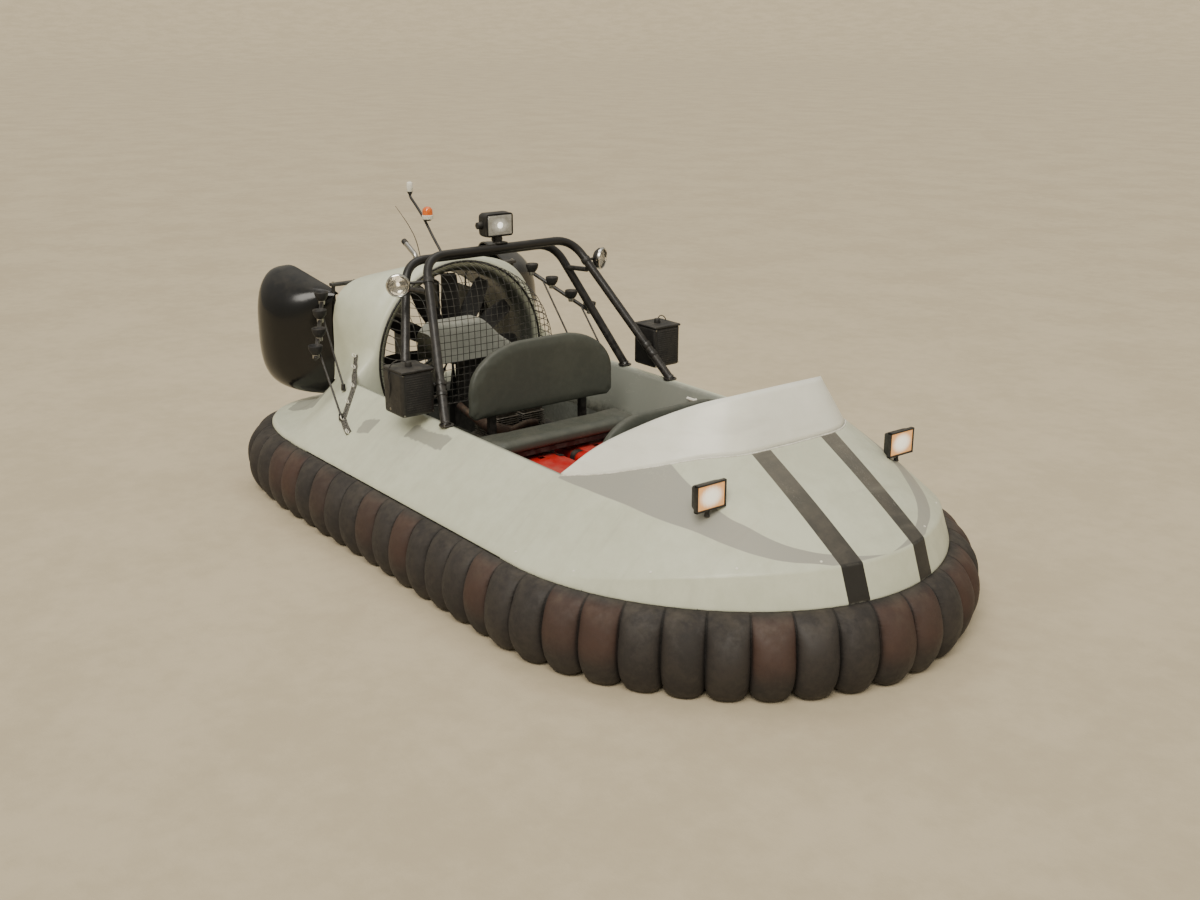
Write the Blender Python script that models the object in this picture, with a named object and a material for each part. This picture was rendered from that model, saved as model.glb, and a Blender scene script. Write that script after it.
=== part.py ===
"""Light four-seat hovercraft, parked on its landing skids.

The frame is metres with +X to the nose, +Y to port and +Z up. The origin is on the ground below
the middle of the craft.
"""
import bpy
import bmesh
from math import cos, hypot, pi, radians, sin, sqrt
from mathutils import Matrix, Vector
from mathutils.bvhtree import BVHTree

for old in list(bpy.data.objects):
    bpy.data.objects.remove(old, do_unlink=True)

# Driving dimensions of the hull and skirt
HULL_HALF_LENGTH = 2.035
HULL_HALF_BEAM = 1.085
HULL_BOTTOM = 0.09
HULL_BOTTOM_INSET = 0.16
GUNWALE_Z = 0.367
SKIRT_BULGE = 0.15
SKIRT_FINGERS = 66
GROOVE_DEPTH = 0.045
GAP = 0.0003

# Cockpit and deck
COAMING_Y = 0.734
COAMING_Z = 0.645
OPENING_Y = 0.70
DECK_THICKNESS = 0.014
WELL_FLOOR = 0.14
WELL_HALF_WIDTH = 0.60
SIDE_DECK_AFT = -1.26
SIDE_DECK_FORE = 0.71
AFT_DECK_Z = 0.44

# Drive line, on the fan shaft's axis
SHAFT_Z = 0.70
DUCT_BORE = 0.475
DUCT_LIP_X = -1.262
DUCT_EXIT_X = -1.615
DUCT_EXIT_BORE = 0.445
FAN_X = -1.38
FAN_RADIUS = 0.462

# Reverse thrust buckets, on upright pivots beside the duct's exit
BUCKET_PIVOT_X = -1.640
BUCKET_PIVOT_Y = 0.612
BUCKET_MID_Z = 0.84
BUCKET_WALL = 0.010

# Colours as linear RGB
COLOURS = {
    "hull_grey": (0.56, 0.57, 0.50),
    "skirt_fabric": (0.05, 0.04, 0.035),
    "screen_white": (0.75, 0.75, 0.66),
    "satin_black": (0.02, 0.02, 0.02),
    "gloss_black": (0.012, 0.012, 0.013),
    "seat_vinyl": (0.08, 0.085, 0.065),
    "tank_red": (0.55, 0.02, 0.015),
    "metal_grey": (0.35, 0.35, 0.34),
    "cover_grey": (0.42, 0.43, 0.40),
    "lamp_glass": (0.80, 0.74, 0.62),
    "beacon_amber": (0.85, 0.30, 0.03),
    "lamp_white": (0.80, 0.80, 0.76),
}
ROUGHNESS = {"gloss_black": 0.15, "lamp_glass": 0.1, "skirt_fabric": 0.85, "seat_vinyl": 0.55}
METALS = ("metal_grey",)


def material(colour):
    """The plain finish of one colour, made once."""
    found = bpy.data.materials.get(colour)
    if found:
        return found
    made = bpy.data.materials.new(colour)
    made.use_nodes = True
    shader = made.node_tree.nodes["Principled BSDF"]
    shader.inputs["Base Color"].default_value = (*COLOURS[colour], 1.0)
    shader.inputs["Roughness"].default_value = ROUGHNESS.get(colour, 0.4)
    shader.inputs["Metallic"].default_value = 1.0 if colour in METALS else 0.0
    return made


def place(name, bm, colour, origin=(0.0, 0.0, 0.0), guide=False):
    """Put a finished bmesh into the scene as an object whose origin is at the given point."""
    bmesh.ops.recalc_face_normals(bm, faces=bm.faces)
    bmesh.ops.translate(bm, verts=bm.verts, vec=-Vector(origin))
    mesh = bpy.data.meshes.new(name)
    bm.to_mesh(mesh)
    bm.free()
    mesh.shade_smooth()
    mesh.set_sharp_from_angle(angle=radians(35))
    body = bpy.data.objects.new(name, mesh)
    body.location = origin
    bpy.context.collection.objects.link(body)
    if guide:
        body.hide_render = True
        body.display_type = "WIRE"
    else:
        mesh.materials.append(material(colour))
    return body


def combine(body, other, operation):
    """Give the body an exact Boolean with a guide object."""
    step = body.modifiers.new(operation.lower(), "BOOLEAN")
    step.operation = operation
    step.solver = "EXACT"
    step.object = other
    return body


def loft(rings, closed_run=False):
    """A closed skin through rings of points; the run's two ends are capped unless it closes."""
    bm = bmesh.new()
    rows = [[bm.verts.new(point) for point in ring] for ring in rings]
    size = len(rows[0])
    pairs = list(zip(rows, rows[1:]))
    if closed_run:
        pairs.append((rows[-1], rows[0]))
    for near, far in pairs:
        for i in range(size):
            j = (i + 1) % size
            bm.faces.new((near[i], near[j], far[j], far[i]))
    if not closed_run:
        bm.faces.new(list(reversed(rows[0])))
        bm.faces.new(rows[-1])
    return bm


def block(low, high, bevel=0.0, segments=1):
    """A box between two corners, with its edges bevelled."""
    bm = bmesh.new()
    bmesh.ops.create_cube(bm, size=1.0)
    size = Vector(high) - Vector(low)
    bmesh.ops.scale(bm, verts=bm.verts, vec=size)
    bmesh.ops.translate(bm, verts=bm.verts, vec=(Vector(low) + Vector(high)) / 2)
    if bevel:
        bmesh.ops.bevel(bm, geom=list(bm.edges), offset=bevel, segments=segments, profile=0.5,
                        affect="EDGES", material=-1)
    return bm


def bar(start, end, radius, sides=10, end_radius=None):
    """A round bar, or a cone where the end's radius differs, between two points."""
    bm = bmesh.new()
    start, end = Vector(start), Vector(end)
    run = end - start
    turn = run.to_track_quat("Z", "Y").to_matrix().to_4x4()
    seat = Matrix.Translation((start + end) / 2) @ turn
    bmesh.ops.create_cone(bm, cap_ends=True, segments=sides, radius1=radius,
                          radius2=radius if end_radius is None else end_radius,
                          depth=run.length, matrix=seat)
    return bm


def joined(*parts):
    """Several bmeshes as one, still separate shells."""
    whole = bmesh.new()
    for part in parts:
        mesh = bpy.data.meshes.new("joining")
        part.to_mesh(mesh)
        part.free()
        whole.from_mesh(mesh)
        bpy.data.meshes.remove(mesh)
    return whole


def assembled(name, colour, parts, origin=(0.0, 0.0, 0.0)):
    """One body made of overlapping closed shells, by exact unions one after another."""
    body = place(name, parts[0], colour, origin)
    for number, part in enumerate(parts[1:]):
        combine(body, place(f"{name}_guide_{number}", part, colour, guide=True), "UNION")
    return body


def height_on(name, x, y):
    """The height of the top of a finished body's own mesh above a point of the plan."""
    body = bpy.data.objects[name]
    points = [vertex.co + body.location for vertex in body.data.vertices]
    tree = BVHTree.FromPolygons(points, [tuple(face.vertices) for face in body.data.polygons])
    return tree.ray_cast(Vector((x, y, 3.0)), Vector((0, 0, -1)))[0].z


def seat_height(name, x, y, radius):
    """The height at which a round foot of the given radius rests on a body."""
    rim = [(x + radius * cos(pi * k / 12), y + radius * sin(pi * k / 12)) for k in range(24)]
    return max(height_on(name, u, v) for u, v in rim) + GAP


def bent_path(corners, bend, steps=4):
    """The polyline through the corners with each inner corner rounded by an arc-like curve."""
    path = [Vector(corners[0])]
    for before, corner, after in zip(corners, corners[1:], corners[2:]):
        before, corner, after = Vector(before), Vector(corner), Vector(after)
        enter = corner + (before - corner).normalized() * bend
        leave = corner + (after - corner).normalized() * bend
        for i in range(steps + 1):
            t = i / steps
            path.append(enter * (1 - t) ** 2 + corner * 2 * t * (1 - t) + leave * t ** 2)
    path.append(Vector(corners[-1]))
    return path


def tube(path, radius, sides=10):
    """A round tube swept along a path, with the path's own plane kept as its twist."""
    path = [Vector(point) for point in path]
    rings = []
    side = None
    for i, point in enumerate(path):
        ahead = path[min(i + 1, len(path) - 1)] - path[max(i - 1, 0)]
        ahead.normalize()
        if side is None:
            side = ahead.orthogonal().normalized()
        side = (side - ahead * side.dot(ahead)).normalized()
        up = ahead.cross(side)
        rings.append([point + (side * cos(2 * pi * k / sides) + up * sin(2 * pi * k / sides)) * radius
                      for k in range(sides)])
    return loft(rings)


def mirrored(point, side):
    """A port-side point taken to the given side, +1 for port and -1 for starboard."""
    return (point[0], point[1] * side, point[2])


SIDES = (("port", 1), ("starboard", -1))


def bezier(points, count):
    """Points of a cubic Bezier curve, with both its ends."""
    a, b, c, d = (Vector(p) for p in points)
    curve = []
    for i in range(count + 1):
        t = i / count
        curve.append(a * (1 - t) ** 3 + b * 3 * t * (1 - t) ** 2 + c * 3 * t ** 2 * (1 - t) + d * t ** 3)
    return curve


def spaced(path, count):
    """The same path with its points at equal distances."""
    lengths = [0.0]
    for a, b in zip(path, path[1:]):
        lengths.append(lengths[-1] + (b - a).length)
    points = []
    k = 0
    for i in range(count + 1):
        want = lengths[-1] * i / count
        while k < len(path) - 2 and lengths[k + 1] < want:
            k += 1
        share = (want - lengths[k]) / (lengths[k + 1] - lengths[k])
        points.append(path[k].lerp(path[k + 1], share))
    return points


# The gunwale's plan: a round bow, straight sides and a tail with rounded quarters
BOW_START_X = 0.84
TAIL_START_X = -1.21
BOW = [(BOW_START_X, HULL_HALF_BEAM), (1.44, HULL_HALF_BEAM), (HULL_HALF_LENGTH, 0.58),
       (HULL_HALF_LENGTH, 0.0)]
TAIL = [(TAIL_START_X, HULL_HALF_BEAM), (-1.71, HULL_HALF_BEAM), (-HULL_HALF_LENGTH, 0.95),
        (-HULL_HALF_LENGTH, 0.50)]


def half_gunwale():
    """The port half of the gunwale in plan, from the nose round to the tail's middle."""
    bow = list(reversed(bezier(BOW, 40)))
    tail = bezier(TAIL, 40)
    return bow + tail + [Vector((-HULL_HALF_LENGTH, 0.0))]


def gunwale(count):
    """The whole gunwale in plan as an even number of equally spaced points, nose first, to port."""
    half = spaced(half_gunwale(), count // 2)
    other = [Vector((p.x, -p.y)) for p in reversed(half[1:-1])]
    return half + other


def outward(points):
    """The outward unit normal at each point of a closed plan."""
    normals = []
    for i, point in enumerate(points):
        along = points[(i + 1) % len(points)] - points[i - 1]
        normals.append(Vector((along.y, -along.x)).normalized())
    return normals


def hull_ring(points, normals, offset, z):
    return [(p.x + n.x * offset, p.y + n.y * offset, z) for p, n in zip(points, normals)]


WELL_AFT, WELL_FORE = -1.25, 1.35
FAN_WELL_AFT, FAN_WELL_FORE, FAN_WELL_FLOOR = -1.43, -1.24, 0.12
CUTTER_TOP = 0.6


def hull_tub():
    """The foam-filled lower hull, with the cockpit and engine well and the fan's well sunk in it."""
    plan = gunwale(SKIRT_FINGERS * SKIRT_COLUMNS // 3)
    normals = outward(plan)
    levels = [(-HULL_BOTTOM_INSET, HULL_BOTTOM), (-0.018, 0.315), (0.0, 0.33), (0.0, GUNWALE_Z - 0.0065)]
    tub = place("hull_tub", loft([hull_ring(plan, normals, d, z) for d, z in levels]), "hull_grey")
    well = block((WELL_AFT, -WELL_HALF_WIDTH, WELL_FLOOR), (WELL_FORE, WELL_HALF_WIDTH, CUTTER_TOP))
    fan_well = block((FAN_WELL_AFT, -WELL_HALF_WIDTH, FAN_WELL_FLOOR),
                     (FAN_WELL_FORE, WELL_HALF_WIDTH, CUTTER_TOP))
    combine(tub, place("well_cutter", well, "hull_grey", guide=True), "DIFFERENCE")
    combine(tub, place("fan_well_cutter", fan_well, "hull_grey", guide=True), "DIFFERENCE")


# The skirt's section: outward offset and height of each corner, and how deep the groove cuts there
SKIRT_SECTION = [
    # offset, z, groove share
    (0.0006, 0.352, 0.0),
    (0.0006, 0.328, 0.0),
    (-0.012, 0.300, 0.0),
    (-0.045, 0.150, 0.0),
    (-0.060, 0.0005, 0.0),
    (0.075, 0.0005, 0.8),
    (0.128, 0.030, 1.0),
    (SKIRT_BULGE, 0.105, 1.0),
    (0.138, 0.205, 1.0),
    (0.094, 0.295, 0.8),
    (0.032, 0.352, 0.3),
]
SKIRT_COLUMNS = 4


def skirt():
    """The fabric skirt: one ring of inflated fingers hung from the gunwale."""
    count = SKIRT_FINGERS * SKIRT_COLUMNS
    plan = gunwale(count)
    normals = outward(plan)
    rings = []
    for i, (point, normal) in enumerate(zip(plan, normals)):
        phase = (i % SKIRT_COLUMNS) / SKIRT_COLUMNS
        sunk = GROOVE_DEPTH * (1.0 - sin(pi * phase) ** 0.6)
        rings.append([(point.x + normal.x * (d - sunk * share), point.y + normal.y * (d - sunk * share), z)
                      for d, z, share in SKIRT_SECTION])
    place("skirt", loft(rings, closed_run=True), "skirt_fabric")


SKID_Y = 0.42
SKID_HALF_WIDTH = 0.04
SKID_AFT, SKID_FORE = -1.45, 1.25


def landing_skids():
    """Two runners under the hull that the craft stands on."""
    for side, sign in SIDES:
        low = (SKID_AFT, SKID_Y * sign - SKID_HALF_WIDTH, 0.0)
        high = (SKID_FORE, SKID_Y * sign + SKID_HALF_WIDTH, HULL_BOTTOM - GAP)
        place(f"landing_skid_{side}", block(low, high, 0.012), "satin_black")


# The deck is ruled from the gunwale's band up to the coaming
BAND_AT_NOSE = 0.130
BAND_START_X = 1.09
BAND_LEAN = 0.040
COAMING_CURVE = [(SIDE_DECK_FORE, COAMING_Y, COAMING_Z), (0.94, 0.680, 0.705), (1.15, 0.590, 0.772),
                 (1.31, 0.450, 0.822), (1.415, 0.280, 0.836), (1.433, 0.0, 0.838)]
OPENING_INSET = 0.055
RIM_FALL = 0.004
DECK_STEPS = 14


def deck_bow_line(count):
    """Matching points of the gunwale and of the coaming, from port round the bow to starboard."""
    start = Vector((SIDE_DECK_FORE, HULL_HALF_BEAM))
    outer = spaced([start] + list(reversed(half_gunwale()[:41])), count)
    inner = spaced([Vector(p) for p in COAMING_CURVE], count)
    outer += [Vector((p.x, -p.y)) for p in reversed(outer[:-1])]
    inner += [Vector((p.x, -p.y, p.z)) for p in reversed(inner[:-1])]
    return outer, inner


def deck_rim():
    """Each point of the coaming round the bow, with the level way from it into the cockpit."""
    middle = Vector((SIDE_DECK_FORE, 0.0))
    _, inner = deck_bow_line(DECK_STEPS)
    return [(rim, (middle - Vector((rim.x, rim.y))).normalized()) for rim in inner]


def foredeck():
    """The hood, its upright bow band and the rim it gives the cockpit's front."""
    outer, _ = deck_bow_line(DECK_STEPS)
    rings = []
    foot_z = GUNWALE_Z - 0.0060
    for edge, (rim, to_middle) in zip(outer, deck_rim()):
        reach = max(0.0, (edge.x - BAND_START_X) / (HULL_HALF_LENGTH - BAND_START_X))
        band = BAND_AT_NOSE * sin(reach * pi / 2) ** 1.3
        inward = (Vector((rim.x, rim.y)) - edge).normalized()
        kink = edge + inward * (0.012 + BAND_LEAN * reach)
        kink_z = GUNWALE_Z + 0.008 + band
        lip = Vector((rim.x, rim.y)) + to_middle * OPENING_INSET
        top = [(edge.x, edge.y, foot_z), (edge.x + inward.x * 0.002, edge.y + inward.y * 0.002, GUNWALE_Z)]
        top.append((kink.x, kink.y, kink_z))
        for share in (0.33, 0.67):
            swell = 0.012 * sin(pi * share)
            top.append((kink.x + (rim.x - kink.x) * share, kink.y + (rim.y - kink.y) * share,
                        kink_z + (rim.z - kink_z) * share + swell))
        top.append((rim.x, rim.y, rim.z))
        top.append((lip.x, lip.y, rim.z - RIM_FALL))
        under = []
        for x, y, z in reversed(top[2:]):
            under.append((x, y, z - DECK_THICKNESS))
        foot_in = edge + inward * 0.030
        under.append((foot_in.x, foot_in.y, GUNWALE_Z + 0.004 + band * 0.8))
        under.append((foot_in.x, foot_in.y, foot_z))
        rings.append(top + under)
    place("foredeck", loft(rings), "hull_grey")


INNER_WALL_Y = WELL_HALF_WIDTH + 0.0005


def side_section(x, sign):
    """A side deck's closed section: gunwale, slope, coaming and the cockpit's inner wall."""
    points = [(HULL_HALF_BEAM, GUNWALE_Z - 0.006), (HULL_HALF_BEAM - 0.002, GUNWALE_Z + 0.004),
              (HULL_HALF_BEAM - 0.018, GUNWALE_Z + 0.022), (0.915, 0.510), (0.775, 0.621),
              (COAMING_Y, COAMING_Z), (OPENING_Y, COAMING_Z - 0.004),
              (OPENING_Y - 0.012, COAMING_Z - 0.016), (0.640, 0.50), (INNER_WALL_Y, GUNWALE_Z - 0.006),
              (0.630, GUNWALE_Z - 0.006), (0.660, 0.49),
              (OPENING_Y + 0.004, COAMING_Z - 0.024), (COAMING_Y - 0.004, COAMING_Z - 0.016),
              (0.765, 0.606), (0.905, 0.494), (HULL_HALF_BEAM - 0.030, GUNWALE_Z - 0.006)]
    return [(x, y * sign, z) for y, z in points]


def side_decks():
    """The sloping decks beside the cockpit."""
    for side, sign in SIDES:
        stations = (SIDE_DECK_AFT, -0.76, -0.26, 0.24, SIDE_DECK_FORE - GAP)
        place(f"side_deck_{side}", loft([side_section(x, sign) for x in stations]), "hull_grey")


AFT_OPENING_X = -1.62
THRUST_FLOOR_FORE = -1.44
THRUST_FLOOR_UNDERSIDE = 0.425


def aft_deck():
    """The deck round the duct and over the tail, flared up beside the duct's mouth."""
    start = Vector((SIDE_DECK_AFT - GAP, HULL_HALF_BEAM))
    outer = spaced([start] + half_gunwale()[42:], 16)
    side_run = [Vector((SIDE_DECK_AFT - GAP, WELL_HALF_WIDTH)),
                Vector((AFT_OPENING_X, COWL_EXIT_HALF_WIDTH + 0.015))]
    tail_run = [side_run[-1], Vector((AFT_OPENING_X, 0.0))]
    inner = spaced(side_run, 8)[:-1] + spaced(tail_run, 8)
    outer += [Vector((p.x, -p.y)) for p in reversed(outer[:-1])]
    inner += [Vector((p.x, -p.y)) for p in reversed(inner[:-1])]
    foot_z = GUNWALE_Z - 0.006
    shares = (0.04, 0.16, 0.38, 0.62, 0.80, 0.93, 1.0)
    side_rise = (0.06, 0.18, 0.40, 0.66, 0.86, 0.98, 1.0)
    tail_rise = (0.25, 0.62, 0.90, 1.0, 1.0, 1.0, 1.0)
    rings = []
    for edge, rim in zip(outer, inner):
        blend = min(1.0, max(0.0, (SIDE_DECK_AFT - 0.02 - rim.x) / 0.22))
        blend = blend * blend * (3 - 2 * blend)
        rim_z = COAMING_Z * (1 - blend) + AFT_DECK_Z * blend
        ring = [(edge.x, edge.y, foot_z)]
        for share, low, high in zip(shares, side_rise, tail_rise):
            rise = low * (1 - blend) + high * blend
            x = edge.x + (rim.x - edge.x) * share
            y = edge.y + (rim.y - edge.y) * share
            ring.append((x, y, GUNWALE_Z + (rim_z - GUNWALE_Z) * rise))
        ring.append((rim.x, rim.y, foot_z))
        rings.append(ring)
    place("aft_deck", loft(rings), "hull_grey")


def thrust_floor():
    """The plate that splits the lift air below from the thrust air above."""
    edge = WELL_HALF_WIDTH - GAP
    low = (AFT_OPENING_X + GAP, -edge, THRUST_FLOOR_UNDERSIDE)
    floor = block(low, (THRUST_FLOOR_FORE, edge, AFT_DECK_Z))
    place("thrust_floor", floor, "hull_grey")


# The bore narrows behind the fan
DUCT_TAPER_X = -1.48
# The duct's section: place along the craft, radius
DUCT_LIP = [(-1.285, 0.575), (-1.266, 0.566), (DUCT_LIP_X, 0.545), (-1.275, 0.512), (-1.31, 0.487),
            (-1.35, DUCT_BORE), (DUCT_TAPER_X, DUCT_BORE), (DUCT_EXIT_X, DUCT_EXIT_BORE)]
# The cowl grows from the round lip to a box with round corners at the exit
COWL_STATIONS = (DUCT_EXIT_X, -1.53, -1.44, -1.36)
COWL_EXIT_HALF_WIDTH = 0.640
COWL_EXIT_HEIGHT = 0.470
COWL_EXIT_SQUARENESS = 5.0
COWL_SIDES = 48


def turned(section, steps):
    """A ring turned round the fan shaft's axis from a closed section of place and radius."""
    rings = []
    for i in range(steps):
        angle = 2 * pi * i / steps
        rings.append([(x, r * sin(angle), SHAFT_Z + r * cos(angle)) for x, r in section])
    return loft(rings, closed_run=True)


def cowl_radius(x, angle):
    """How far the cowl's outside stands from the fan's axis, at an angle from straight up."""
    lip_x, lip_radius = DUCT_LIP[0]
    share = (lip_x - x) / (lip_x - DUCT_EXIT_X)
    power = 2.0 + (COWL_EXIT_SQUARENESS - 2.0) * share
    width = lip_radius + (COWL_EXIT_HALF_WIDTH - lip_radius) * share
    height = lip_radius + (COWL_EXIT_HEIGHT - lip_radius) * share
    boxed = ((abs(cos(angle)) / height) ** power + (abs(sin(angle)) / width) ** power) ** (-1.0 / power)
    round_share = min(1.0, max(0.0, (-cos(angle) - 0.25) / 0.25))
    return boxed + (lip_radius - boxed) * round_share


def duct_cowl():
    """The fan duct with its rolled inlet lip; its lower arc ends on the thrust floor aft."""
    rings = []
    for i in range(COWL_SIDES):
        angle = 2 * pi * i / COWL_SIDES
        section = [(x, cowl_radius(x, angle)) for x in COWL_STATIONS] + DUCT_LIP
        rings.append([(x, r * sin(angle), SHAFT_Z + r * cos(angle)) for x, r in section])
    cowl = place("duct_cowl", loft(rings, closed_run=True), "hull_grey")
    below = block((-1.8, -0.7, 0.0), (THRUST_FLOOR_FORE + 0.0105, 0.7, AFT_DECK_Z + GAP))
    combine(cowl, place("cowl_cutter", below, "hull_grey", guide=True), "DIFFERENCE")


GUARD_RIM = 0.545
GUARD_DEPTH = 0.252
GUARD_SQUARENESS = 4.0
GUARD_WIRE = 0.004
GUARD_PITCH = 0.099
# The basket is open below this height, where the belt case comes through
GUARD_SILL_Z = 0.5015


def dome_x(radius):
    """How far forward the basket stands at a distance from the shaft."""
    reach = max(0.0, 1 - (radius / GUARD_RIM) ** GUARD_SQUARENESS)
    return DUCT_LIP_X + 0.010 + GUARD_DEPTH * reach ** (1 / GUARD_SQUARENESS)


def guard_wire(offset, upright):
    """One bar of the basket, upright from the sill or level, bowed forward over the duct's mouth."""
    half = sqrt(GUARD_RIM ** 2 - offset ** 2) + 0.003
    low = max(-half, GUARD_SILL_Z - SHAFT_Z) if upright else -half
    middle = (half + low) / 2
    points = []
    steps = 12
    for i in range(steps + 1):
        along = middle - (half - low) / 2 * cos(pi * i / steps)
        x = dome_x(min(hypot(along, offset), GUARD_RIM)) + (0.0023 if upright else -0.0011)
        y, z = (offset, along) if upright else (along, offset)
        points.append((x, y, SHAFT_Z + z))
    return tube(points, GUARD_WIRE, 4)


def fan_guard():
    """The basket of crossed bars that guards the fan, on its rim."""
    x0 = DUCT_LIP_X + 0.0003
    rim = turned([(x0, GUARD_RIM - 0.008), (x0 + 0.014, GUARD_RIM - 0.008), (x0 + 0.014, GUARD_RIM + 0.008),
                  (x0, GUARD_RIM + 0.008)], 40)
    offsets = [GUARD_PITCH * k for k in range(-5, 6)]
    sill = GUARD_SILL_Z - SHAFT_Z
    upright = joined(*[guard_wire(offset, True) for offset in offsets])
    level = joined(*[guard_wire(offset, False) for offset in offsets if offset > sill + GUARD_PITCH / 2] + [
        guard_wire(sill, False)])
    assembled("fan_guard", "satin_black", [rim, upright, level])


# The belt case takes the drive aft under the basket's sill and up to the fan's shaft
DRIVE_AFT = -1.200
DRIVE_FORE = -0.9803
DRIVE_TOP = 0.728


HUB_AFT, HUB_FORE, HUB_RADIUS = -0.045, 0.055, 0.075
SHAFT_RADIUS = 0.018
BEARING_X = -1.45
FAN_BLADES = 12
BLADE_SECTIONS = (
    # radius, chord, thickness, pitch in degrees
    (0.066, 0.055, 0.012, 55),
    (0.25, 0.112, 0.011, 34),
    (FAN_RADIUS, 0.085, 0.006, 22),
)


def fan():
    """The fan: hub, pitched blades and the shaft forward to the drive."""
    hub = bar((FAN_X + HUB_AFT, 0, SHAFT_Z), (FAN_X + HUB_FORE, 0, SHAFT_Z), HUB_RADIUS, 24)
    shaft = bar((BEARING_X + 0.0005, 0, SHAFT_Z), (DRIVE_AFT - GAP, 0, SHAFT_Z), SHAFT_RADIUS, 12)
    blades = []
    for k in range(FAN_BLADES):
        turn = 2 * pi * k / FAN_BLADES
        rings = []
        for radius, chord, thick, pitch in BLADE_SECTIONS:
            a = radians(pitch)
            section = []
            for u, v in ((-0.5, 0.0), (0.0, 0.5), (0.5, 0.0), (0.0, -0.5)):
                along = u * chord * cos(a) - v * thick * sin(a)
                ahead = u * chord * sin(a) + v * thick * cos(a)
                y = radius * sin(turn) + along * cos(turn)
                z = radius * cos(turn) - along * sin(turn)
                section.append((FAN_X + ahead, y, SHAFT_Z + z))
            rings.append(section)
        blade = loft(rings)
        bmesh.ops.triangulate(blade, faces=blade.faces)
        blades.append(blade)
    assembled("fan", "satin_black", [hub, joined(*blades), shaft], (FAN_X, 0, SHAFT_Z))


def shaft_support():
    """The bearing behind the fan on three vanes that also straighten the air."""
    aft = BEARING_X - 0.020
    hub = turned([(aft, 0.0190), (BEARING_X, 0.0190), (BEARING_X, 0.055), (aft, 0.055)], 20)
    vanes = []
    for angle in (0, 120, 240):
        vane = block((aft + 0.002, -0.006, 0.045), (BEARING_X - 0.002, 0.006, DUCT_BORE - 0.0006))
        turn = Matrix.Translation((0, 0, SHAFT_Z)) @ Matrix.Rotation(radians(angle), 4, "X")
        bmesh.ops.transform(vane, matrix=turn, verts=vane.verts)
        vanes.append(vane)
    assembled("shaft_support", "metal_grey", [hub, joined(*vanes)])


RUDDER_X = -1.560
RUDDER_ROWS = (
    # name, place across, top of the blade
    ("rudder_port", 0.22, 1.035),
    ("rudder_centre", 0.0, 1.095),
    ("rudder_starboard", -0.22, 1.035),
)
RUDDER_AFT, RUDDER_FORE = -0.10, 0.055
RUDDER_HALF_THICKNESS = 0.007
PIN_RADIUS = 0.006
PIN_CLEARANCE = 0.0014


def rudders():
    """Three upright rudders in the duct's exit, each on pins in the floor and the duct's roof."""
    narrowed = (DUCT_TAPER_X - RUDDER_X + PIN_RADIUS) / (DUCT_TAPER_X - DUCT_EXIT_X)
    bore = DUCT_BORE + (DUCT_EXIT_BORE - DUCT_BORE) * narrowed
    for name, y, top in RUDDER_ROWS:
        low = (RUDDER_X + RUDDER_AFT, y - RUDDER_HALF_THICKNESS, AFT_DECK_Z + 0.012)
        high = (RUDDER_X + RUDDER_FORE, y + RUDDER_HALF_THICKNESS, top)
        blade = block(low, high, 0.004)
        roof = SHAFT_Z + sqrt(bore ** 2 - (abs(y) + PIN_RADIUS) ** 2)
        pin = bar((RUDDER_X, y, AFT_DECK_Z + GAP), (RUDDER_X, y, roof - PIN_CLEARANCE), PIN_RADIUS, 8)
        assembled(name, "metal_grey", [blade, pin], (RUDDER_X, y, SHAFT_Z))


# A bucket's stations: place, rim and bulge outboard of the centre line, lowest and highest edge
BUCKET_STATIONS = [
    (-1.622, 0.597, 0.645, 0.487, 1.080),
    (-1.70, 0.611, 0.805, 0.479, 1.108),
    (-1.80, 0.630, 0.900, 0.475, 1.133),
    (-1.92, 0.653, 0.932, 0.478, 1.164),
    (-2.03, 0.674, 0.912, 0.492, 1.188),
    (-2.11, 0.689, 0.856, 0.525, 1.176),
    (-2.160, 0.699, 0.790, 0.580, 1.130),
    (-2.185, 0.706, 0.735, 0.650, 1.050),
]
BUCKET_ARC = 11
BUCKET_SQUARENESS = 0.68


def bucket_section(x, rim, bulge, low, high, sign):
    """One station of a bucket: outer arc from bottom rim to top rim and back along the inner one."""
    outer, inner = [], []
    middle, half = (low + high) / 2, (high - low) / 2
    reach = bulge - rim
    inner_reach = reach - BUCKET_WALL if reach > 0.05 else reach * 0.6
    for i in range(BUCKET_ARC):
        t = -pi / 2 + pi * i / (BUCKET_ARC - 1)
        up, out = sin(t), max(cos(t), 0.0)
        up = (abs(up) ** BUCKET_SQUARENESS) * (1 if up > 0 else -1)
        out = out ** BUCKET_SQUARENESS
        outer.append((x, sign * (rim + reach * out), middle + half * up))
        inner.append((x, sign * (rim + inner_reach * out), middle + (half - BUCKET_WALL) * up))
    return outer + list(reversed(inner))


# The flat bar across the duct's exit that holds the buckets' upper pivots
FRAME_LOW, FRAME_HIGH = 1.118, 1.136
FRAME_HALF_WIDTH = 0.630
PIVOT_RADIUS = 0.011


def reverse_buckets():
    """The two scoops that swing in behind the duct to turn the thrust forward."""
    for side, sign in SIDES:
        rings = [bucket_section(*station, sign) for station in BUCKET_STATIONS]
        shell = loft(rings)
        pivot = Vector((BUCKET_PIVOT_X, sign * BUCKET_PIVOT_Y, 0.0))
        rod = bar(pivot + Vector((0, 0, AFT_DECK_Z + 0.0008)), pivot + Vector((0, 0, FRAME_LOW - 0.0004)),
                  PIVOT_RADIUS, 10)
        origin = pivot + Vector((0, 0, BUCKET_MID_Z))
        assembled(f"reverse_bucket_{side}", "gloss_black", [shell, rod], origin)


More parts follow.
